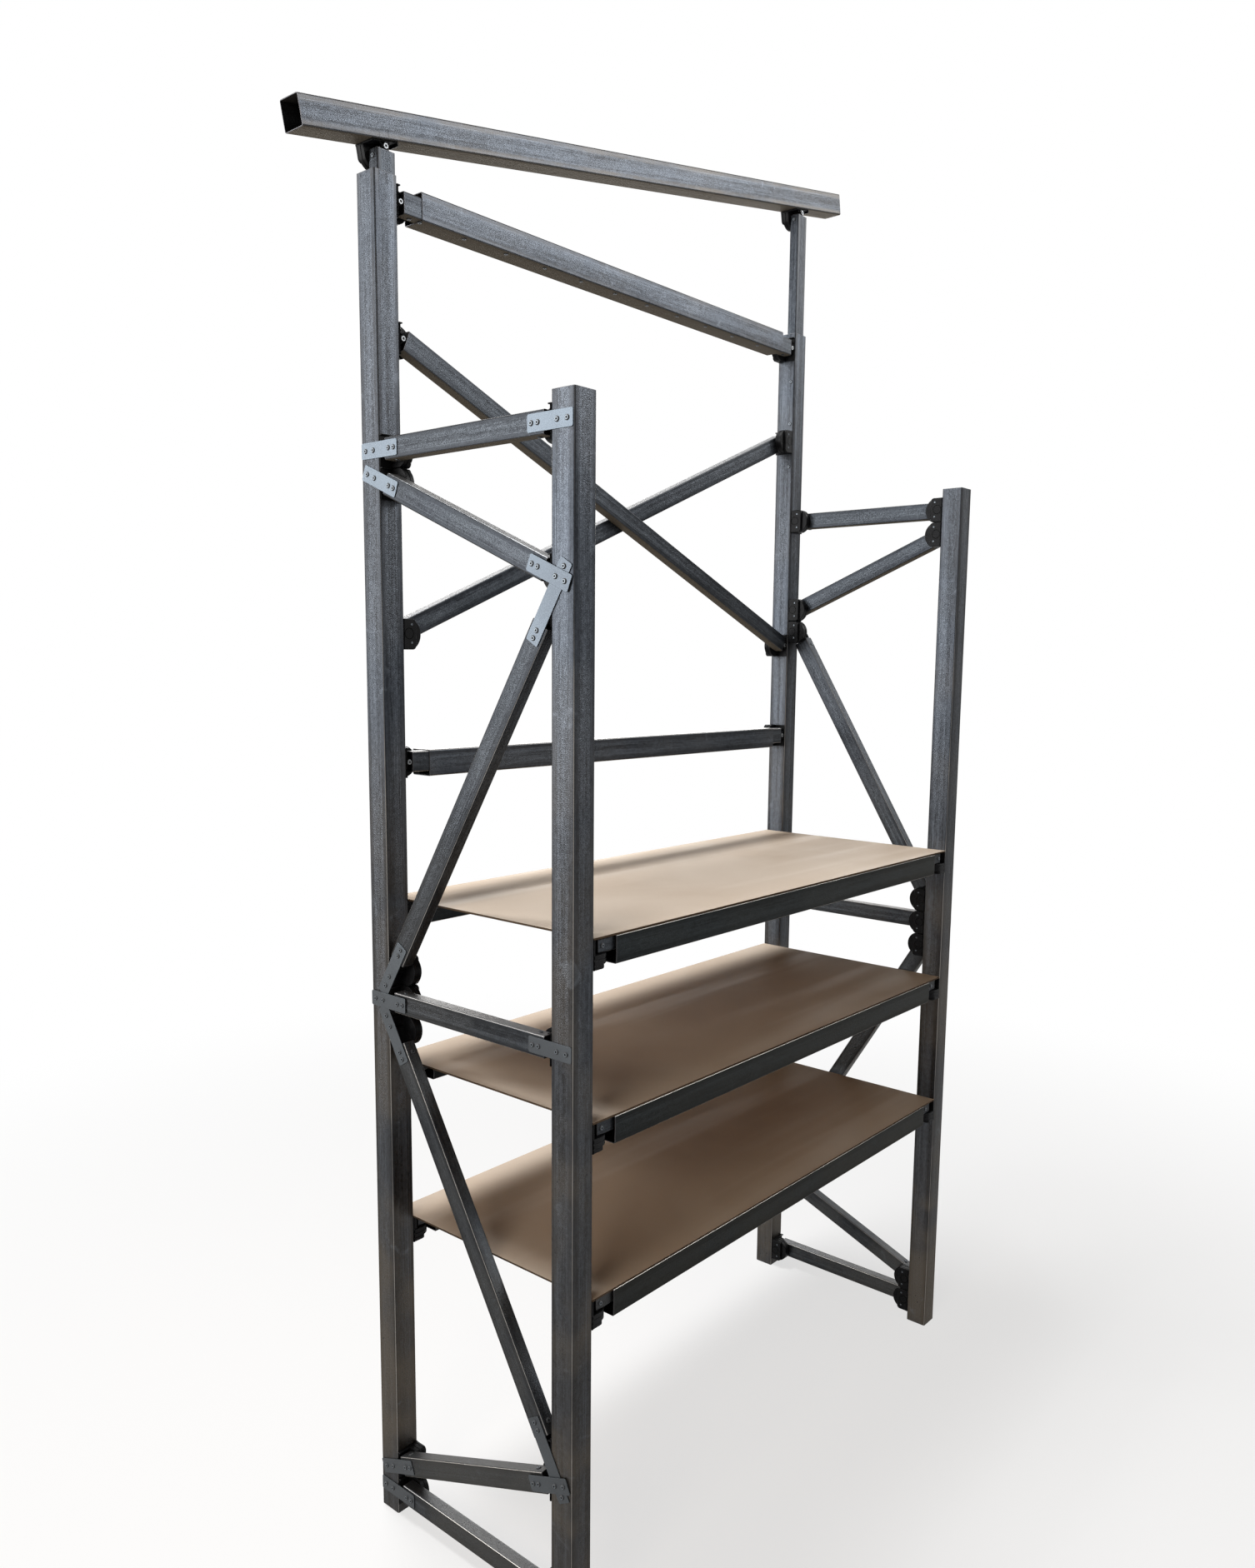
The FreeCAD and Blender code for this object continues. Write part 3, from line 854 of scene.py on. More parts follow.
@dataclass(frozen=True)
class MouldedFinish:
    """Black glass-filled plastic with a fine moulded grain and rubbed patches."""

    name: str
    base: Colour
    rubbed: Colour
    roughness: float
    specular: float = 0.07
    grain: Noise = (1500.0, 2.0, 0.6)
    cloud: Noise = (60.0, 3.0, 0.55)
    cloud_range: Pair = (0.45, 0.7)
    rough_cloud: float = 0.16
    relief: Pair = (0.0001, 0.3)

    def build(self) -> Material:
        """Makes the material.

        Returns:
            The material.
        """
        surface = Surface(self.name)
        cloud = surface.place.noise(*self.cloud)
        colour = surface.sheet.mix(cloud.ramp(*self.cloud_range), self.base, self.rubbed)
        return surface.finish(surface.place.noise(*self.grain), self.relief, {
            "Base Color": colour, "Specular IOR Level": self.specular,
            "Roughness": cloud * self.rough_cloud + (self.roughness - self.rough_cloud / 2)})


@dataclass(frozen=True)
class ScrewFinish:
    """Small plain surface with a little wear: screw heads, their recesses and pencil marks."""

    name: str
    base: Colour
    dull: Colour
    roughness: float
    metallic: float
    wear_scale: float = 420.0
    rough_wear: float = 0.1
    relief: Pair = (0.0001, 0.2)

    def build(self) -> Material:
        """Makes the material.

        Returns:
            The material.
        """
        surface = Surface(self.name)
        wear = surface.place.noise(self.wear_scale)
        return surface.finish(wear, self.relief, {
            "Base Color": surface.sheet.mix(wear, self.dull, self.base),
            "Metallic": self.metallic, "Roughness": wear * self.rough_wear + self.roughness})


@dataclass(frozen=True)
class HardboardFinish:
    """Smooth tan hardboard: fine fibres, faint clouds, long pale rub marks that also stand for
    painted reflections, and dark flecks.
    """

    name: str
    base: Colour
    pale: Colour
    dark: Colour
    roughness: float = 0.62
    specular: float = 0.01
    fibre_stretch: Triple = (1.0, 1.7, 1.0)
    rub_and_sheen_stretch: Triple = (1.1, 16.0, 1.0)
    cloud: Noise = (3.2, 3.0, 0.5, 0.4)
    fibre: Noise = (900.0, 3.0, 0.65, 1.2)
    fleck: Noise = (340.0,)
    rub_and_sheen: Noise = (1.0, 2.0, 0.5, 0.2)
    cloud_range: Pair = (0.3, 0.7)
    fibre_range: Pair = (0.35, 0.7)
    fleck_range: Pair = (0.70, 0.78)
    rub_and_sheen_range: Pair = (0.52, 0.72)
    polish_range: Pair = (0.5, 0.75)
    fibre_share: float = 0.22
    rub_and_sheen_share: float = 0.3
    fleck_share: float = 0.35
    polish: float = 0.14
    relief: Pair = (0.0001, 0.35)

    def build(self) -> Material:
        """Makes the material.

        Returns:
            The material.
        """
        surface = Surface(self.name)
        place = surface.place
        cloud, fleck = place.noise(*self.cloud), place.noise(*self.fleck)
        fibre = place.scaled(*self.fibre_stretch).noise(*self.fibre)
        rub_and_sheen = place.scaled(*self.rub_and_sheen_stretch).noise(*self.rub_and_sheen)
        colour = surface.layered(
            surface.sheet.mix(cloud.ramp(*self.cloud_range), self.dark, self.base),
            (fibre.ramp(*self.fibre_range) * self.fibre_share, self.pale),
            # Long pale streaks: rub marks and painted reflection.
            (rub_and_sheen.ramp(*self.rub_and_sheen_range) * self.rub_and_sheen_share, self.pale),
            (fleck.ramp(*self.fleck_range) * self.fleck_share, self.dark))
        return surface.finish(fibre, self.relief, {
            "Base Color": colour, "Specular IOR Level": self.specular,
            "Roughness": self.roughness - rub_and_sheen.ramp(*self.polish_range) * self.polish})


class Finishes:
    """All materials, each built once."""

    def __init__(self) -> None:
        """Builds the materials."""
        self.tube = GalvanisedFinish(
            "galvanised tube", base=(0.052, 0.061, 0.075, 1), pale=(0.200, 0.226, 0.262, 1),
            dark=(0.013, 0.016, 0.021, 1), warm=(0.104, 0.088, 0.069, 1),
            half_width=TUBE.width / 2).build()
        # Shelf rails: a darker copy of the tube finish, painted shade under the boards, with less
        # painted highlight on top.
        self.rail = GalvanisedFinish(
            "galvanised shelf rail", base=(0.021, 0.026, 0.029, 1), pale=(0.055, 0.066, 0.074, 1),
            dark=(0.005, 0.007, 0.008, 1), warm=(0.018, 0.018, 0.016, 1),
            half_width=TUBE.width / 2, dust_and_sheen_share=0.08).build()
        self.bar = GalvanisedFinish(
            "galvanised bar", base=(0.038, 0.044, 0.052, 1), pale=(0.140, 0.157, 0.180, 1),
            dark=(0.009, 0.011, 0.015, 1), warm=(0.060, 0.060, 0.058, 1),
            half_width=BAR.width / 2).build()
        self.plate = PlateFinish(
            "zinc plate", base=(0.092, 0.112, 0.134, 1), pale=(0.180, 0.215, 0.250, 1),
            dark=(0.056, 0.068, 0.083, 1)).build()
        self.plastic = MouldedFinish(
            "black moulded plastic", base=(0.0045, 0.0048, 0.0055, 1),
            rubbed=(0.010, 0.0105, 0.012, 1), roughness=0.42).build()
        self.screw = ScrewFinish(
            "zinc screw", base=(0.13, 0.15, 0.17, 1), dull=(0.07, 0.08, 0.09, 1),
            roughness=0.3, metallic=0.7).build()
        # Near-black screw recesses and shaded collars: painted shade.
        self.recess = ScrewFinish(
            "screw recess", base=(0.02, 0.02, 0.022, 1), dull=(0.01, 0.01, 0.011, 1),
            roughness=0.6, metallic=0.2).build()
        self.pivot = ScrewFinish(
            "bright pivot screw", base=(0.20, 0.21, 0.22, 1), dull=(0.12, 0.13, 0.14, 1),
            roughness=0.3, metallic=0.5).build()
        self.ink = ScrewFinish(
            "pencil mark", base=(0.02, 0.02, 0.024, 1), dull=(0.035, 0.035, 0.04, 1),
            roughness=0.5, metallic=0.0).build()
        self.board = HardboardFinish(
            "hardboard face", base=(0.62, 0.527, 0.435, 1), pale=(0.74, 0.66, 0.57, 1),
            dark=(0.54, 0.435, 0.340, 1)).build()
        self.board_back = HardboardFinish(
            "hardboard back", base=(0.42, 0.235, 0.115, 1), pale=(0.48, 0.30, 0.165, 1),
            dark=(0.21, 0.110, 0.050, 1), roughness=0.75).build()
        self.board_edge = HardboardFinish(
            "hardboard edge", base=(0.12, 0.088, 0.062, 1), pale=(0.20, 0.15, 0.11, 1),
            dark=(0.04, 0.028, 0.02, 1), roughness=0.7).build()


# ---- tubes
@dataclass
class TubeRun:
    """One cut length of tube."""

    stock: Stock
    start: Vector
    run: Vector
    length: float
    wide: Vector
    lot: float
    corner_steps: int = 6
    rim: float = 0.0003
    end_zone: float = 0.03

    def add_to(self, draft: MeshDraft) -> None:
        """Adds outer wall, bore and cut ends, with the lay of every corner.

        Args:
            draft: takes the faces.
        """
        stock, length = self.stock, self.length
        outer = rectangle(stock.width, stock.depth, stock.corner, self.corner_steps)
        bore = rectangle(stock.width - 2 * stock.wall, stock.depth - 2 * stock.wall,
                         stock.corner - stock.wall, self.corner_steps).points
        rimmed = outer.inset(self.rim)
        wall = outer.points
        sides = [Vector((nx, ny, 0)) for nx, ny in outer.normals]
        insides = [-normal for normal in sides]
        down, up = [-Z] * len(wall), [Z] * len(wall)
        zone = min(self.end_zone, length / 3)
        cut = Layer.CUT_END
        chains = (
            ((rimmed, 0.0, down, cut), (wall, self.rim, sides, cut),
             (wall, zone, sides, Layer.WALL), (wall, length - zone, sides, Layer.WALL),
             (wall, length - self.rim, sides, cut), (rimmed, length, up, cut),
             (bore, length, up, cut)),
            ((bore, length, insides, Layer.BORE), (bore, 0.0, insides, Layer.BORE)),
            ((bore, 0.0, down, cut), (rimmed, 0.0, down, cut)),
        )
        local = MeshDraft()
        for chain in chains:
            for lower, upper in zip(chain, chain[1:]):
                self._band(local, lower, upper, outer)
        across = self.run.cross(self.wide)
        draft.place(local, axes_matrix(self.start, self.wide, across, self.run))

    def _band(self, draft: MeshDraft, lower: tuple, upper: tuple, outer: Outline) -> None:
        """Adds a ring of faces between two stations of the loft.

        Args:
            draft: takes the faces.
            lower: points, place along the run, normals and layer of the first station.
            upper: the same of the second station.
            outer: outline of the tube, which measures the way around it.
        """
        walked = 0.0
        count = len(outer.points)
        for i in range(count):
            j = (i + 1) % count
            step = math.dist(outer.points[i], outer.points[j])
            normal = Vector(outer.normals[i]) + Vector(outer.normals[j])
            axis = 1 if abs(normal.x) > abs(normal.y) else 0
            quads = [(station, k, outer.points[k][axis], way) for station, k, way in (
                (lower, i, walked), (lower, j, walked + step),
                (upper, j, walked + step), (upper, i, walked))]
            draft.faces.append(Face(
                [Vector((*station[0][k], station[1])) for station, k, _, _ in quads],
                [station[2][k] for station, k, _, _ in quads],
                [(off, self.lot, station[3].value) for station, _, off, _ in quads],
                [(way + self.lot, station[1] + self.lot) for station, _, _, way in quads]))
            walked += step


def dress(piece: Object, body: Body, slot: Slot, *nodes: str) -> None:
    """Puts a finished piece on its body.

    Args:
        piece: the finished object.
        body: the body it moves with.
        slot: its material slot in the record; not used.
        nodes: CAD nodes that it stands for.
    """
    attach(piece, body.value)
    if nodes:
        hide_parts(*nodes)
    LOG.info("%s: %d faces", piece.name, len(piece.data.polygons))


# ---- screws
@dataclass(frozen=True)
class ScrewKind:
    """Sizes of one kind of screw head, in the order of the tree's inputs."""

    radius: float
    rim: float
    dome: float
    dome_share: float
    recess_share: float
    recess_depth: float
    sides: int
    # Whether the head's sides take the painted contact shadow.
    dark_collar: bool = False


class ScrewHeads:
    """Geometry Nodes tree that sets a recessed pan head on every point, along its facing."""

    INPUTS = {
        "Head Radius": "Float", "Rim Height": "Float", "Dome Height": "Float",
        "Dome Share": "Float", "Recess Share": "Float", "Recess Depth": "Float", "Sides": "Int",
        "Dark Collar": "Bool", "Steel": "Material", "Recess": "Material",
    }

    def __init__(self) -> None:
        """Builds the tree."""
        self.sheet, given, end = node_group(
            "screw heads", "Geometry", {"Points": "Geometry", **self.INPUTS},
            {"Screws": "Geometry"})
        self.sheet.put(end.inputs[0], self._wire(given))

    def _wire(self, given: dict[str, Wire]) -> Wire:
        """Wires head, recess and placing.

        Args:
            given: the tree's inputs.

        Returns:
            The placed heads as real geometry.
        """
        sheet = self.sheet
        head = sheet.node("GeometryNodeMeshCylinder", fill_type="NGON", named={
            "Vertices": given["Sides"], "Radius": given["Head Radius"],
            "Depth": given["Rim Height"]})
        shape = sheet.value("GeometryNodeTransform", named={
            "Geometry": head.outputs["Mesh"],
            "Translation": sheet.combined(0.0, 0.0, given["Rim Height"] * 0.5)})
        shape, top, collar = self._raise(shape, head.outputs["Top"], given["Dome Height"])
        shape = self._shrink(shape, top, given["Dome Share"])
        shape, top, _ = self._raise(shape, top, 0.0)
        shape = self._shrink(shape, top, given["Recess Share"])
        shape, bottom, wall = self._raise(shape, top, given["Recess Depth"] * -1.0)
        # Dark ring round the tube screw heads: painted contact shadow.
        shaded = self._logic("AND", collar, given["Dark Collar"])
        inside = self._logic("OR", bottom, wall)
        shape = sheet.value("GeometryNodeSetMaterial", named={
            "Geometry": shape, "Material": given["Steel"]})
        # Recess and shaded collar get the near-black painted shade.
        shape = sheet.value("GeometryNodeSetMaterial", named={
            "Geometry": shape, "Selection": self._logic("OR", inside, shaded),
            "Material": given["Recess"]})
        facing = sheet.value("GeometryNodeInputNamedAttribute", "facing",
                             data_type="FLOAT_VECTOR")
        aligned = sheet.value("FunctionNodeAlignRotationToVector", axis="Z",
                              named={"Vector": facing})
        spread = sheet.value("GeometryNodeInstanceOnPoints", named={
            "Points": given["Points"], "Instance": shape, "Rotation": aligned})
        return sheet.value("GeometryNodeRealizeInstances", spread)

    def _logic(self, operation: str, first: Wire, second: Wire) -> Wire:
        """Boolean node."""
        return self.sheet.value("FunctionNodeBooleanMath", first, second, operation=operation)

    def _raise(self, shape: Wire, faces: object, distance: object) -> list[Wire]:
        """Extrudes faces; returns the mesh, its new top and its new sides."""
        node = self.sheet.node("GeometryNodeExtrudeMesh", named={
            "Mesh": shape, "Selection": faces, "Offset Scale": distance, "Individual": False})
        return [Wire(self.sheet, node.outputs[label]) for label in ("Mesh", "Top", "Side")]

    def _shrink(self, shape: Wire, faces: Wire, share: Wire) -> Wire:
        """Scales faces about their centre."""
        return self.sheet.value("GeometryNodeScaleElements", named={
            "Geometry": shape, "Selection": faces, "Scale": share})

    def make(self, name: str, kind: ScrewKind, spots: Sequence[Spot], steel: Material,
             recess: Material) -> Object:
        """Sets one head on each spot.

        Args:
            name: piece name.
            kind: sizes of the head.
            spots: seat of each head and the direction it faces.
            steel: material of the head.
            recess: material of its recess, a near-black painted shade.

        Returns:
            A plain mesh object at the origin.
        """
        mesh = bpy.data.meshes.new(name + "_spots")
        mesh.from_pydata([seat for seat, _ in spots], [], [])
        facing = mesh.attributes.new("facing", "FLOAT_VECTOR", "POINT")
        facing.data.foreach_set("vector", np.array([tuple(f) for _, f in spots], float).ravel())
        holder = linked(name + "_spots", mesh)
        modifier = holder.modifiers.new("screws", "NODES")
        modifier.node_group = self.sheet.tree
        sockets = {item.name: item.identifier for item in self.sheet.tree.interface.items_tree
                   if item.in_out == "INPUT"}
        for label, value in zip(self.INPUTS, (*astuple(kind), steel, recess)):
            modifier[sockets[label]] = value
        bpy.context.view_layer.update()
        graph = bpy.context.evaluated_depsgraph_get()
        plain = bpy.data.meshes.new_from_object(holder.evaluated_get(graph), depsgraph=graph)
        plain.name = name
        bpy.data.objects.remove(holder)
        return linked(name, plain)


TUBE_SCREW = ScrewKind(0.0042, 0.0006, 0.0011, 0.70, 0.55, 0.0014, 20, True)
PIVOT_SCREW = ScrewKind(0.0043, 0.0009, 0.0004, 0.9, 0.56, 0.0011, 28)
CHEEK_SCREW = ScrewKind(0.0020, 0.0003, 0.0005, 0.75, 0.5, 0.0006, 14)


# ---- hinge connector
@dataclass
class Hinge:
    """One hinge connector on a tube face, and the direction its bar leaves in."""

    foot: Vector
    out: Vector
    along: Vector
    across: Vector
    bar: Vector
    inset: float = 0.0
    above: float = HINGE.above
    below: float = HINGE.below
    hub_drop: float = 0.0

    def pivot(self) -> Vector:
        """Point of the pivot's axis on the bar side."""
        return self.foot + self.out * HINGE.pivot_offset

    def gap(self) -> float:
        """Pivot to cut bar end, so that the bar's nearest corner clears the post.

        Returns:
            The distance along the bar.
        """
        cosine = self.bar.dot(self.out)
        sine = math.sqrt(max(0.0, 1 - cosine * cosine))
        needed = (HINGE.bar_end_clearance - HINGE.pivot_offset + sine * BAR.width / 2) / cosine
        return max(HINGE.least_bar_gap, needed)

    def bar_end(self) -> Vector:
        """Middle of the cut bar end's bar-side edge."""
        return self.pivot() + self.bar * self.gap()

    def axis_end(self) -> Vector:
        """End of the bar's axis."""
        return self.bar_end() + self.across * (self.inset + BAR.depth / 2)

    def wide(self) -> Vector:
        """Direction of the bar's wide side."""
        return self.across.cross(self.bar)

    def bar_run(self, length: float, lot: float) -> TubeRun:
        """Small tube that starts at this connector."""
        return TubeRun(BAR, self.axis_end(), self.bar, length, self.wide(), lot)

    def end_screw(self, facing: Vector, distance: float = 0.018) -> Spot:
        """Screw on a narrow face of the bar, near its end."""
        return self.axis_end() + self.bar * distance + facing * (BAR.width / 2), facing

    def point(self, u: float, v: float, w: float) -> Vector:
        """Point of the connector in the unit's frame."""
        return self.foot + self.out * u + self.along * v + self.across * w

    def cheek_screws(self) -> list[Spot]:
        """Finds the two small screws on the outer face.

        Returns:
            Their seats and facings.
        """
        height = TUBE.width + self.hub_drop - HINGE.hub_sink
        spread = min(self.above, self.below) * HINGE.cheek_screw_share
        return [(self.point(HINGE.cheek_screw_reach, v, height), self.across)
                for v in (spread, -spread)]

    def pivot_screw(self) -> Spot:
        """Seat of the pivot screw's head on the ear."""
        seat = self.point(HINGE.pivot_offset, 0.0, self.inset + HINGE.ear_seat)
        return seat, -self.across


def cheek_outline(above: float, below: float, shrink: float = 0.0) -> Outline:
    """Draws the D-shaped cheek.

    Args:
        above: reach over the pivot.
        below: reach under the pivot.
        shrink: how far its rim is pulled in.

    Returns:
        Its outline.
    """
    half = (above + below) / 2
    bulge = HINGE.cheek_reach - HINGE.cheek_straight
    radius = (half * half + bulge * bulge) / (2 * bulge)
    half_angle = math.degrees(math.asin(half / radius))
    centre = (HINGE.cheek_reach - radius, (above - below) / 2)
    rim = arc(centre, radius - shrink, -half_angle, half_angle, HINGE.rim_chords)
    return filleted([(0.0, rim[0][1]), *rim, (0.0, rim[-1][1])], HINGE.rounding)


class HingeMoulding:
    """The two mouldings of the connector."""

    RING_PROFILE = ((-1.0, 0.0), (-0.6, 1.0), (0.6, 1.0), (1.0, 0.0))
    RING_FACINGS = ((-1.0, 0.3), (-0.4, 0.9), (0.4, 0.9), (1.0, 0.3))
    RING_SIDES = 36

    @classmethod
    @cache
    def bracket(cls, inset: float, above: float, below: float, hub_drop: float) -> MeshDraft:
        """Builds the fixed half, once for each set of sizes.

        Args:
            inset: shift of bar, ear and cheek across the post.
            above: reach over the pivot.
            below: reach under the pivot.
            hub_drop: how far the hub stands past the post.

        Returns:
            Base, hook, grooved cheek, ringed hub, ear and index rib.
        """
        h = HINGE
        draft = MeshDraft()
        far = TUBE.width + hub_drop - h.hub_sink
        draft.slab(block(0, -below, h.base_thickness, above, h.edge), 0.0, far, h.edge)
        hook = block(h.overlap, above - h.hook_thickness, h.hook_reach, above, h.rounding)
        draft.slab(hook, h.fine_edge, BAR.depth, h.soft_edge)
        start, end = inset + h.cheek_start, inset + h.cheek_end
        groove = start + (end - start) * h.groove_share
        cheek = cheek_outline(above, below)
        draft.slab(cheek, start, groove, h.edge)
        draft.slab(cheek_outline(above, below, h.groove_depth), groove - h.rounding,
                   groove + h.groove_floor, h.fine_edge)
        draft.slab(cheek, groove + h.groove_width, end, h.groove_depth)
        r = h.hub_rounding
        hub = filleted([(0, -below), *arc((h.hub_reach - r, r - below), r, -90, 0, h.hub_chords),
                        *arc((h.hub_reach - r, above - r), r, 0, 90, h.hub_chords), (0, above)],
                       h.rounding)
        draft.slab(hub, end - h.bite, far, h.hub_edge)
        cls._ring(draft, far - h.bite, far + h.ring_rise)
        rib = block(h.hub_reach - h.overlap, -h.bite, h.cheek_reach - h.rib_stop, h.bite,
                    h.fine_edge, 2)
        draft.slab(rib, end - h.bite, end + h.bite, h.finest_edge)
        root, pivot = h.base_thickness - h.soft_edge, (h.pivot_offset, 0)
        ear = filleted([(root, -h.ear_root), *arc(pivot, h.ear_radius, -90, 90, h.ear_chords),
                        (root, h.ear_root)], h.soft_edge)
        low, high = inset + h.ear_seat, inset + h.ear_seat + h.ear_thickness
        draft.slab(ear, low, high, h.soft_edge)
        last = 360 * h.boss_chords / (h.boss_chords + 1)
        boss = filleted(arc(pivot, h.boss_radius, 0, last, h.boss_chords), h.fine_edge)
        draft.slab(boss, high - h.fine_edge, start + h.fine_edge, h.finest_edge)
        return draft

    @classmethod
    def _ring(cls, draft: MeshDraft, low: float, high: float) -> None:
        """Adds the hub's raised ring with its rounded top.

        Args:
            draft: takes the faces.
            low: where its sides start.
            high: its top.
        """
        for step in range(cls.RING_SIDES):
            first, second = (2 * math.pi * s / cls.RING_SIDES for s in (step, step + 1))
            for a in range(3):
                corners, normals = [], []
                for angle, k in ((first, a), (first, a + 1), (second, a + 1), (second, a)):
                    (off, rise), (slope, level) = cls.RING_PROFILE[k], cls.RING_FACINGS[k]
                    reach = HINGE.ring_radius + HINGE.soft_edge * off
                    turn = Vector((math.cos(angle), math.sin(angle), 0))
                    corners.append(Vector((HINGE.ring_centre, 0, low + (high - low) * rise))
                                   + turn * reach)
                    normals.append((turn * slope + Z * level).normalized())
                draft.faces.append(Face(corners[::-1], normals[::-1]))

    @staticmethod
    def tongue(hinge: Hinge) -> MeshDraft:
        """Builds the turning half of a connector.

        Args:
            hinge: the connector.

        Returns:
            Knuckle and neck about the pivot, and the plug in the bar.
        """
        h, r, gap = HINGE, HINGE.knuckle_radius, hinge.gap()
        draft = MeshDraft()
        low = hinge.inset + h.ear_seat + h.ear_thickness + h.running_clearance
        high = hinge.inset + h.cheek_start - h.running_clearance
        knuckle = filleted([(gap + h.overlap, r), *arc((0, 0), r, 90, 270, h.knuckle_chords),
                            (gap + h.overlap, -r)], h.knuckle_edge)
        draft.slab(knuckle, low, high, h.rounding)
        half = BAR.width / 2 - h.plug_margin
        plug = block(gap, -half, gap + h.plug_length, half, h.plug_corner)
        draft.slab(plug, hinge.inset + h.plug_margin, hinge.inset + BAR.depth - h.plug_margin,
                   h.plug_edge)
        return draft


# ---- workshop that the sub-assemblies share
class Workshop:
    """Materials, and the screws and connectors gathered from every sub-assembly."""

    def __init__(self) -> None:
        """Sets up what all sub-assemblies use."""
        self.finishes = Finishes()
        self.series = random.Random(SEED)
        self.spots: dict[Body, list[Spot]] = {Body.FRAME: [], Body.CANOPY: []}
        self.hinges: dict[Body, list[Hinge]] = {Body.FRAME: [], Body.CANOPY: []}

    def screw(self, spot: Spot, body: Body = Body.FRAME) -> None:
        """Keeps the seat and facing of one tube screw."""
        self.spots[body].append(spot)

    def lot(self) -> float:
        """Next shift of a piece's patterns, the same on every run."""
        return self.series.uniform(0.0, LARGEST_LOT)

    def tube(self, node: str, *runs: TubeRun, body: Body = Body.FRAME) -> None:
        """Makes the tube or tubes that stand for one CAD node.

        Args:
            node: the CAD node.
            runs: the tubes, all of one stock.
            body: the body they move with.
        """
        draft = MeshDraft()
        for run in runs:
            run.add_to(draft)
        f = self.finishes
        # Shelf rails take the darker copy of the tube finish, which carries painted shade.
        slot, material = Slot.TUBE, f.rail if node.startswith("shelf") else f.tube
        if runs[0].stock is BAR:
            slot, material = Slot.BAR, f.bar
        name = node + ("_tube" if len(runs) == 1 else "_tubes")
        dress(draft.to_object(name, material), body, slot, node)

    def connectors(self, name: str, hinges: Sequence[Hinge], body: Body = Body.FRAME) -> None:
        """Makes a group of connectors and keeps them for their screws.

        Args:
            name: the group's name, here and in the CAD.
            hinges: the connectors.
            body: the body they move with.
        """
        fixed, turning = MeshDraft(), MeshDraft()
        for hinge in hinges:
            bracket = HingeMoulding.bracket(
                hinge.inset, hinge.above, hinge.below, hinge.hub_drop)
            fixed.place(bracket, axes_matrix(hinge.foot, hinge.out, hinge.along, hinge.across))
            turning.place(HingeMoulding.tongue(hinge),
                          axes_matrix(hinge.pivot(), hinge.bar, hinge.wide(), hinge.across))
        for draft, half in ((fixed, "brackets"), (turning, "tongues")):
            piece = draft.to_object(f"{name}_hinge_{half}", self.finishes.plastic)
            dress(piece, body, Slot.CONNECTOR, f"{name}_{half}")
        self.hinges[body] += hinges

    def fit_screws(self) -> None:
        """Sets every screw head, one piece for each kind and body."""
        heads, f = ScrewHeads(), self.finishes
        for body, hinges in self.hinges.items():
            cheek_spots = [spot for hinge in hinges for spot in hinge.cheek_screws()]
            for label, kind, spots, steel in (
                    ("tube_screws", TUBE_SCREW, self.spots[body], f.screw),
                    ("pivot_screws", PIVOT_SCREW, [h.pivot_screw() for h in hinges], f.pivot),
                    ("cheek_screws", CHEEK_SCREW, cheek_spots, f.screw)):
                piece = heads.make(f"{body.value}_{label}", kind, spots, steel, f.recess)
                dress(piece, body, Slot.PLATE)


# ---- sub-assemblies
@dataclass
class Posts:
    """The four upright square tubes."""

    scribe_heights: tuple[float, ...] = (1.1225, 0.8415, 0.5605)
    scribe_width: float = 0.0007
    scribe_proud: float = 0.00008
    locking_heights: tuple[float, ...] = (2.141, 2.048, 1.953)
    locking_depth: float = 0.1975

    def build(self, shop: Workshop) -> None:
        """Makes the posts, their scribe lines and the masts' locking screws.

        Args:
            shop: the workshop.
        """
        for row in ("front", "rear"):
            for side in Side:
                node = f"post_{row}_{side.name.lower()}"
                low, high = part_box(node)
                start = Vector(((low.x + high.x) / 2, (low.y + high.y) / 2, low.z))
                shop.tube(node, TubeRun(TUBE, start, Z, high.z - low.z, X, shop.lot()))
        for side in Side:
            for height in self.locking_heights:
                spot = Vector((side.value * -LEFT_INNER, self.locking_depth, height))
                shop.screw((spot, X * -side.value))
        self._scribe(shop)

    def _scribe(self, shop: Workshop) -> None:
        """Makes thin pencil lines across the right posts' inner faces, over each shelf.

        Args:
            shop: the workshop.
        """
        line, lines = MeshDraft(), MeshDraft()
        fine, proud = self.scribe_width / 4, self.scribe_proud
        line.slab(rectangle(TUBE.width - 2 * TUBE.corner, self.scribe_width, fine, 2),
                  -proud, proud, proud / 4)
        for row in (FRONT + TUBE.width / 2, REAR - TUBE.width / 2):
            for height in self.scribe_heights:
                lines.place(line, axes_matrix(Vector((-LEFT_INNER, row, height)), Y, Z, X))
        dress(lines.to_object("shelf_scribe_lines", shop.finishes.ink), Body.FRAME, Slot.TUBE)


@dataclass
class SideBarPlan:
    """Heights of one side bar's pivots, and the kind and layers of its plates."""

    rear: float
    front: float
    long_plates: bool = False
    rear_layer: int = 0
    front_layer: int = 0


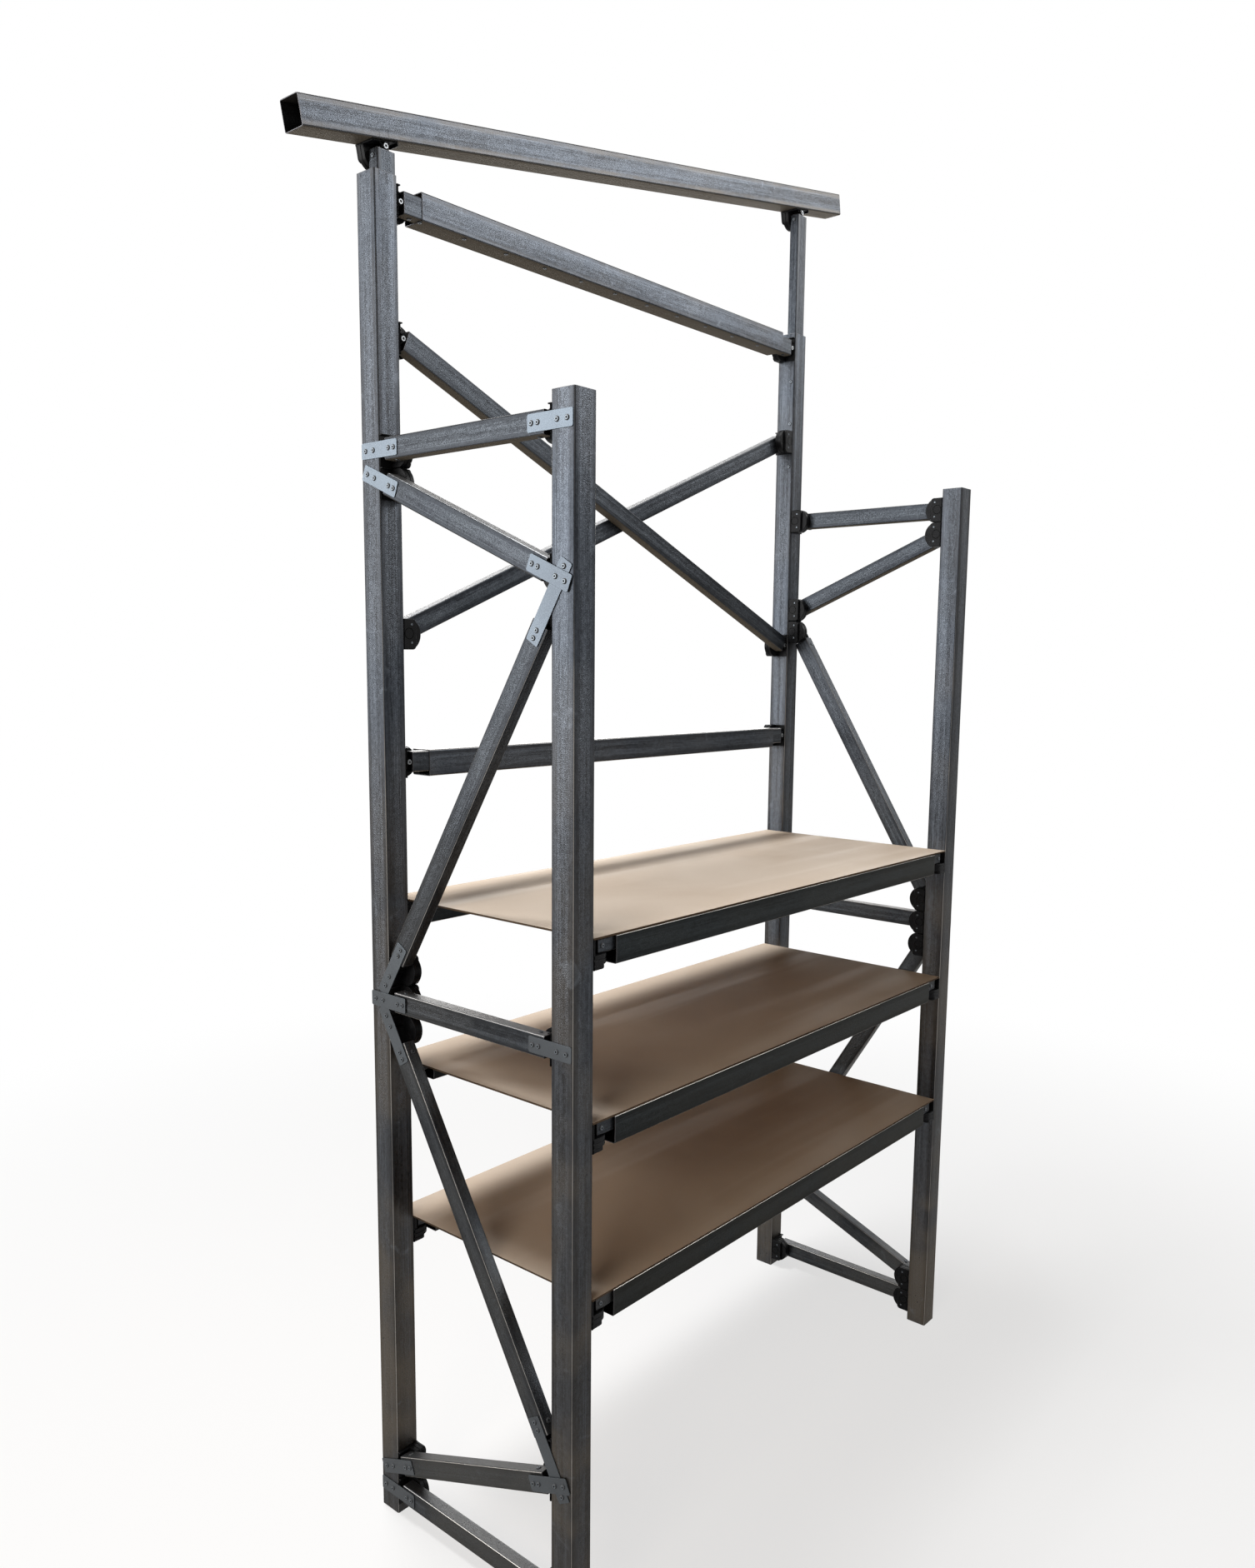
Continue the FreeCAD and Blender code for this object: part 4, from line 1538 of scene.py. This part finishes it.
@dataclass
class SideFrame:
    """Seven bars between a front and a rear post, with their plates."""

    side: Side
    top: float = 1.830
    top_bay: float = 0.202
    middle: float = 0.938
    lower: float = 0.238
    foot: float = 0.044
    plate_thickness: float = 0.0015
    plate_width: float = 0.0254
    plate_corner: float = 0.003
    plate_bevel: float = 0.0003
    plate_on_bar: float = 0.031
    short_on_post: float = 0.0565
    long_on_post: float = 0.101
    long_tolerance: float = 0.01
    short_tolerance: float = 0.005
    shortened_gap: float = 0.0046
    bar_screws: tuple[float, ...] = (0.008, 0.0205)
    short_screws: tuple[float, ...] = (0.058, 0.077)
    long_screws: tuple[float, ...] = (0.1225,)
    shortened_screws: tuple[float, ...] = (0.0665, 0.086)
    screws_up: tuple[int, ...] = (3, 4, 5, 6)

    def plans(self) -> list[SideBarPlan]:
        """Lists the bars.

        Returns:
            The bars from the top down.
        """
        pitch = CONNECTOR_PITCH
        upper = self.top - self.top_bay
        return [
            SideBarPlan(self.top, self.top),
            SideBarPlan(self.top - pitch, upper, front_layer=1),
            SideBarPlan(self.middle + pitch, upper - pitch, long_plates=True),
            SideBarPlan(self.middle, self.middle, rear_layer=1),
            SideBarPlan(self.middle - pitch, self.lower + pitch, long_plates=True),
            SideBarPlan(self.foot + pitch, self.lower, front_layer=1),
            SideBarPlan(self.foot, self.foot),
        ]

    def ends(self, plan: SideBarPlan) -> tuple[Hinge, Hinge]:
        """Places a bar's connectors; the right frame is the left one turned half a turn.

        Args:
            plan: the bar.

        Returns:
            The connector of the plan's rear height, and that of its front height.
        """
        turn = -self.side.value
        out, across = Y * turn, X * turn
        rear_foot = Vector((LEFT * turn, REAR_INNER * turn, plan.rear))
        front_foot = Vector((LEFT * turn, FRONT_INNER * turn, plan.front))
        pivot = out * HINGE.pivot_offset
        bar = ((front_foot + pivot) - (rear_foot - pivot)).normalized()
        return Hinge(rear_foot, -out, Z, across, bar), Hinge(front_foot, out, Z, across, -bar)

    def reach_to_middle(self, end: Hinge) -> float:
        """Measures a plate that stops short of the middle bar.

        Args:
            end: the connector it covers.

        Returns:
            Its length past the bar end.
        """
        half_end = abs(end.bar.dot(end.out)) * self.plate_width / 2
        rise = abs(end.bar_end().z - self.middle)
        return (rise - self.shortened_gap - half_end) / abs(end.bar.z)

    def build(self, shop: Workshop) -> None:
        """Makes bars, connectors, plates and plate screws.

        Args:
            shop: the workshop.
        """
        label = self.side.name.lower()
        hinges: list[Hinge] = []
        plates = MeshDraft()
        for number, plan in enumerate(self.plans(), start=1):
            rear, front = self.ends(plan)
            length = (front.bar_end() - rear.bar_end()).length
            shop.tube(f"{label}_bar_{number}", rear.bar_run(length, shop.lot()))
            rear_reach = self.reach_to_middle(rear) if plan.long_plates else self.short_on_post
            front_reach = self.long_on_post if plan.long_plates else self.short_on_post
            self._plate(plates, shop, rear, rear_reach, plan.rear_layer)
            self._plate(plates, shop, front, front_reach, plan.front_layer)
            up = Z if number in self.screws_up else -Z
            for end in (rear, front):
                shop.screw(end.end_screw(end.wide() if end.wide().dot(up) > 0 else -end.wide()))
                hinges.append(end)
        shop.connectors(label, hinges)
        piece = plates.to_object(label + "_mending_plates", shop.finishes.plate)
        dress(piece, Body.FRAME, Slot.PLATE, label + "_plates")

    def _plate(self, plates: MeshDraft, shop: Workshop, end: Hinge, on_post: float,
               layer: int) -> None:
        """Adds one plate and its screws.

        Args:
            plates: takes the plate.
            shop: takes the screws.
            end: the connector it covers.
            on_post: its length past the bar end.
            layer: 1 where it lies on another plate.
        """
        length = self.plate_on_bar + on_post
        plate = MeshDraft()
        plate.slab(rectangle(length, self.plate_width, self.plate_corner), 0.0,
                   self.plate_thickness, self.plate_bevel)
        lift = self.plate_thickness * layer
        centre = end.bar_end() + end.bar * (self.plate_on_bar - length / 2) - end.across * lift
        outward = -end.across
        plates.place(plate, axes_matrix(centre, end.bar, outward.cross(end.bar), outward))
        far = self.short_screws
        if on_post > self.long_on_post - self.long_tolerance:
            far = self.long_screws
        elif on_post > self.short_on_post + self.short_tolerance:
            far = self.shortened_screws
        tip = end.bar_end() + end.bar * self.plate_on_bar
        for distance in (*self.bar_screws, *far):
            spot = tip - end.bar * distance - end.across * (lift + self.plate_thickness)
            shop.screw((spot, outward))


def rail_hinges(y_foot: float, z_foot: float, along: Vector, across: Vector,
                above: float = HINGE.above, below: float = HINGE.below,
                hub_drop: float = 0.0) -> list[Hinge]:
    """Left and right connector of a level rail between two posts."""
    return [Hinge(Vector((side.value * -LEFT_INNER, y_foot, z_foot)), X * -side.value, along,
                  across, X * -side.value, TUBE.wall, above, below, hub_drop) for side in Side]


def rail_run(node: str, lot: float) -> TubeRun:
    """Fits a large tube along X to a CAD node's box.

    Args:
        node: the CAD node.
        lot: shift of its patterns.

    Returns:
        The tube.
    """
    low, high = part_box(node)
    start = Vector((low.x, (low.y + high.y) / 2, (low.z + high.z) / 2))
    return TubeRun(TUBE, start, X, high.x - low.x, Y, lot)


@dataclass
class BackFrame:
    """Cross braces and two telescoping rails between the rear posts."""

    top_rail: float = 2.2125
    middle_rail: float = 1.335
    under_top: float = 0.205
    above_middle: float = 0.211
    stub: float = 0.340
    screw_pitch: float = 0.0943
    screw_start: float = 0.095
    screw_depth: float = 0.197
    screw_count: int = 11

    def brace(self, left: float, right: float, y: float, across: Vector) -> list[Hinge]:
        """Places the connectors of one brace.

        Args:
            left: height at the left post.
            right: height at the right post.
            y: depth of the feet.
            across: direction from the ear to the hub.

        Returns:
            Left and right connector.
        """
        feet = Vector((LEFT_INNER, y, left)), Vector((-LEFT_INNER, y, right))
        pivot = X * HINGE.pivot_offset
        run = ((feet[1] - pivot) - (feet[0] + pivot)).normalized()
        return [Hinge(feet[0], X, Z, across, run), Hinge(feet[1], -X, Z, across, -run)]

    def build(self, shop: Workshop) -> None:
        """Makes braces, rails, connectors and screws.

        Args:
            shop: the workshop.
        """
        high = self.top_rail - self.under_top
        low = self.middle_rail + self.above_middle
        hinges: list[Hinge] = []
        for name, ends in (("falling", self.brace(high, low, REAR_INNER, Y)),
                           ("rising", self.brace(low, high, REAR, -Y))):
            length = (ends[1].bar_end() - ends[0].bar_end()).length
            shop.tube("back_brace_" + name, ends[0].bar_run(length, shop.lot()))
            hinges += ends
        for name, height in (("top", self.top_rail), ("middle", self.middle_rail)):
            ends = rail_hinges(REAR_INNER, height, Z, Y)
            shop.tube(f"back_rail_{name}_inners",
                      *(end.bar_run(self.stub, shop.lot()) for end in ends))
            outer = f"back_rail_{name}_outer"
            shop.tube(outer, rail_run(outer, shop.lot()))
            for end in ends:
                shop.screw(end.end_screw(-Z))
            hinges += ends
        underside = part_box("back_rail_top_outer")[0].z
        for index in range(self.screw_count):
            x = LEFT + self.screw_start + self.screw_pitch * index
            shop.screw((Vector((x, self.screw_depth, underside)), -Z))
        shop.connectors("back", hinges)


@dataclass
class Shelves:
    """Three levels of telescoping rails with a loose board on each."""

    count: int = 3
    stub: float = 0.200
    hub_drop: float = 0.0026
    board_edge: float = 0.0005
    level: float = 0.9
    left_screw: float = 0.009
    right_screws: tuple[float, ...] = (0.008, 0.018, 0.018)

    def build(self, shop: Workshop) -> None:
        """Makes rails, boards, connectors and screws.

        Args:
            shop: the workshop.
        """
        hinges: list[Hinge] = []
        half = TUBE.width / 2
        for number in range(1, self.count + 1):
            stubs = []
            for row, sign in (("front", -1), ("rear", 1)):
                node = f"shelf_{number}_{row}_rail"
                low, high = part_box(node)
                shop.tube(node, rail_run(node, shop.lot()))
                ends = rail_hinges((low.y + high.y) / 2, high.z, Y * -sign, -Z, half, half,
                                   self.hub_drop)
                for end, distance in zip(ends, (self.left_screw, self.right_screws[number - 1])):
                    stubs.append(end.bar_run(self.stub, shop.lot()))
                    shop.screw(end.end_screw(Y * sign, distance))
                hinges += ends
            shop.tube(f"shelf_{number}_rail_inners", *stubs)
            self._board(shop.finishes, f"board_{number}")
        shop.connectors("shelf", hinges)

    def _board(self, finishes: Finishes, node: str) -> None:
        """Makes one loose board with eased edges and darker sawn sides.

        Args:
            finishes: the materials.
            node: the board's CAD node.
        """
        low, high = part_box(node)
        draft, placed = MeshDraft(), MeshDraft()
        outline = rectangle(high.x - low.x, high.y - low.y, self.board_edge * 2, 3)
        draft.slab(outline, low.z, high.z, self.board_edge)
        for face in draft.faces:
            facing = min(face.normals, key=lambda n: abs(n.z)).z
            face.material = 0 if facing > self.level else 2 if facing < -self.level else 1
        placed.place(draft, Matrix.Translation(((low.x + high.x) / 2, (low.y + high.y) / 2, 0)))
        piece = placed.to_object(node + "_hardboard", finishes.board, finishes.board_edge,
                                 finishes.board_back)
        dress(piece, Body(node), Slot.BOARD, node)


@dataclass
class Canopy:
    """Two masts that slide in the rear posts and carry the tilted beam."""

    tilt: float = math.radians(10.82)
    mast_length: float = 0.600
    play: float = 0.0002
    screw_distance: float = 0.010
    tick_width: float = 0.0008
    tick_corner: float = 0.00015
    tick_proud: float = 0.00008
    ticks: tuple[Triple, ...] = ((-0.011, 0.0055, 0.005), (0.007, 0.005, 0.008))

    def build(self, shop: Workshop) -> None:
        """Makes beam, masts, connectors and screws.

        Args:
            shop: the workshop.
        """
        run = Vector((math.cos(self.tilt), 0, math.sin(self.tilt)))
        normal = Vector((-math.sin(self.tilt), 0, math.cos(self.tilt)))
        low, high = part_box("top_beam")
        centre = (low + high) / 2
        length = ((high.x - low.x) - TUBE.width * math.sin(self.tilt)) / math.cos(self.tilt)
        beam = TubeRun(TUBE, centre - run * (length / 2), run, length, Y, shop.lot())
        shop.tube("top_beam", beam, body=Body.CANOPY)
        mast_x = LEFT_INNER - TUBE.wall - self.play - BAR.width / 2
        underside = Vector((0, REAR_INNER, centre.z)) - normal * (TUBE.width / 2)
        hinges = []
        for side in Side:
            offset = normal.x * (TUBE.width / 2 + HINGE.pivot_offset) - side.value * mast_x
            end = Hinge(underside + run * (offset / run.x), -normal, run, Y, -Z,
                        TUBE.wall + self.play)
            hinges.append(end)
            shop.tube(f"mast_{side.name.lower()}",
                      end.bar_run(self.mast_length, shop.lot()), body=Body.CANOPY)
            shop.screw(end.end_screw(-X, self.screw_distance), Body.CANOPY)
        shop.connectors("beam", hinges, Body.CANOPY)
        self._ticks(shop, hinges[0].foot, run, normal)

    def _ticks(self, shop: Workshop, foot: Vector, run: Vector, normal: Vector) -> None:
        """Makes the pencil ticks on the beam over one pivot.

        Args:
            shop: the workshop.
            foot: the connector's foot.
            run: direction along the beam.
            normal: direction out of its top.
        """
        draft = MeshDraft()
        proud = self.tick_proud
        for offset, height, length in self.ticks:
            tick = MeshDraft()
            outline = rectangle(self.tick_width, length, self.tick_corner, 2)
            tick.slab(outline, -proud, proud, proud / 4)
            draft.place(tick, axes_matrix(foot + run * offset + normal * height, run, normal, -Y))
        dress(draft.to_object("beam_pencil_ticks", shop.finishes.ink), Body.CANOPY, Slot.TUBE)


# ---- camera, floor and light
@dataclass(frozen=True)
class Lamp:
    """One soft rectangular lamp that lights, shows in reflections, or both."""

    name: str
    place: Triple
    target: Triple
    size: Pair
    power: float
    shines: bool = True
    mirrored: bool = True
    colour: Triple = (1.0, 1.0, 1.0)

    def build(self) -> None:
        """Adds the lamp, aimed at its target."""
        data = bpy.data.lights.new(self.name, "AREA")
        data.shape = "RECTANGLE"
        data.size, data.size_y = self.size
        data.energy = self.power
        data.color = self.colour
        lamp = linked(self.name, data)
        lamp.location = self.place
        lamp.visible_diffuse = self.shines
        lamp.visible_glossy = self.mirrored
        aim = Vector(self.target) - Vector(self.place)
        lamp.rotation_euler = aim.to_track_quat("-Z", "Y").to_euler()


WARM = (1.0, 0.87, 0.74)
LAMPS = (
    Lamp("overhead", (-0.7, 1.05, 5.0), (0, 0, 1.0), (2.0, 1.1), 228.0),
    Lamp("fill", (-3.3, -1.0, 2.4), (0, 0, 0.7), (1.4, 0.9), 36.0, mirrored=False, colour=WARM),
    Lamp("left", (-4.3, 2.0, 2.6), (0, 0, 1.9), (4.8, 3.2), 360.0, shines=False),
    Lamp("low left", (-4.7, 2.2, 0.75), (0, 0, 0.9), (4.8, 1.2), 32.0, shines=False, colour=WARM),
    Lamp("front", (3.4, -3.4, 4.5), (-0.2, 0.1, 2.2), (5.0, 2.3), 325.0, shines=False),
    Lamp("back", (2.8, 3.3, 2.6), (0, 0, 1.7), (4.4, 1.5), 130.0, shines=False),
)


@dataclass
class Studio:
    """Camera at the viewing angle, pale floor, soft lamps and a white surround."""

    eye: Triple = (-1.8208, -1.3745, 1.5032)
    yaw: float = 0.86716
    pitch: float = -0.13536
    roll: float = 0.0099
    focal_pixels: float = 1431.6
    centre_pixels: Pair = (762.5, 989.7)
    frame_pixels: Pair = (1506.0, 1882.0)
    sensor: float = 36.0
    farthest: float = 200.0
    floor_radius: float = 14.0
    floor_sides: int = 60
    floor_height: float = -0.0002
    floor_colour: Colour = (0.86, 0.86, 0.86, 1)
    floor_fade: Ramp = (0.9, 3.2, 0.0, 1.0)
    floor_glow: float = 0.68
    ambient: float = 0.085
    ambient_tint: Colour = (1.0, 0.85, 0.70, 1.0)
    white: Colour = (1.0, 1.0, 1.0, 1.0)

    def build(self) -> None:
        """Makes the camera, the floor, the lamps and the world."""
        self._camera()
        self._floor()
        for lamp in LAMPS:
            lamp.build()
        self._world()
        bpy.context.scene.view_settings.view_transform = "Standard"

    def _camera(self) -> None:
        """Makes the camera from its yaw, pitch and roll."""
        level = Vector((math.cos(self.yaw), -math.sin(self.yaw), 0))
        forward = Vector((math.sin(self.yaw) * math.cos(self.pitch),
                          math.cos(self.yaw) * math.cos(self.pitch), math.sin(self.pitch)))
        upright = level.cross(forward)
        right = level * math.cos(self.roll) + upright * math.sin(self.roll)
        up = upright * math.cos(self.roll) - level * math.sin(self.roll)
        longest = max(self.frame_pixels)
        data = bpy.data.cameras.new("camera")
        data.sensor_fit = "AUTO"
        data.sensor_width = self.sensor
        data.lens = self.focal_pixels * self.sensor / longest
        data.shift_x = (self.frame_pixels[0] / 2 - self.centre_pixels[0]) / longest
        data.shift_y = (self.centre_pixels[1] - self.frame_pixels[1] / 2) / longest
        data.clip_end = self.farthest
        camera = linked("camera", data)
        camera.matrix_world = axes_matrix(Vector(self.eye), right, up, -forward)
        bpy.context.scene.camera = camera

    @staticmethod
    def _seen(sheet: NodeSheet, *rays: str) -> Wire:
        """Tells whether a ray is one of several kinds.

        Args:
            sheet: the sheet to wire on.
            rays: the kinds.

        Returns:
            1 for those kinds, otherwise 0.
        """
        path = sheet.node("ShaderNodeLightPath")
        seen = Wire(sheet, path.outputs[f"Is {rays[0]} Ray"])
        for ray in rays[1:]:
            seen = sheet.math("MAXIMUM", seen, path.outputs[f"Is {ray} Ray"])
        return seen

    def _floor(self) -> None:
        """Makes a pale floor disc that fades to the white surround far from the unit."""
        last = 360 * (self.floor_sides - 1) / self.floor_sides
        ring = arc((0, 0), self.floor_radius, 0, last, self.floor_sides - 1)
        mesh = bpy.data.meshes.new("floor")
        mesh.from_pydata([(x, y, self.floor_height) for x, y in ring], [], [range(len(ring))])
        material = bpy.data.materials.new("pale floor")
        sheet = cleared(material)
        place = sheet.value("ShaderNodeTexCoord", output="Object")
        distance = sheet.value("ShaderNodeVectorMath", place, output="Value", operation="LENGTH")
        glow = distance.ramp(*self.floor_fade) * (1.0 - self.floor_glow) + self.floor_glow
        seen = self._seen(sheet, "Camera", "Glossy", "Transmission")
        blend = sheet.node(
            "ShaderNodeMixShader", seen * glow,
            sheet.value("ShaderNodeBsdfDiffuse", self.floor_colour),
            sheet.value("ShaderNodeEmission", self.white, 1.0))
        sheet.node("ShaderNodeOutputMaterial", blend.outputs[0])
        mesh.materials.append(material)
        linked("floor", mesh)

    def _world(self) -> None:
        """Makes a surround that is white to the eye and in reflections, and softer as light."""
        world = bpy.data.worlds.new("studio")
        bpy.context.scene.world = world
        sheet = cleared(world)
        seen = self._seen(sheet, "Camera", "Transmission", "Glossy")
        background = sheet.node(
            "ShaderNodeBackground", sheet.mix(seen, self.ambient_tint, self.white),
            seen.ramp(0.0, 1.0, self.ambient, 1.0))
        sheet.node("ShaderNodeOutputWorld", background.outputs[0])


def main() -> None:
    """Builds the whole scene in order."""
    logging.basicConfig(level=logging.INFO, format="%(message)s")
    shop = Workshop()
    Studio().build()
    Posts().build(shop)
    for side in Side:
        SideFrame(side).build(shop)
    BackFrame().build(shop)
    Shelves().build(shop)
    Canopy().build(shop)
    shop.fit_screws()


if __name__ == "__main__":
    main()
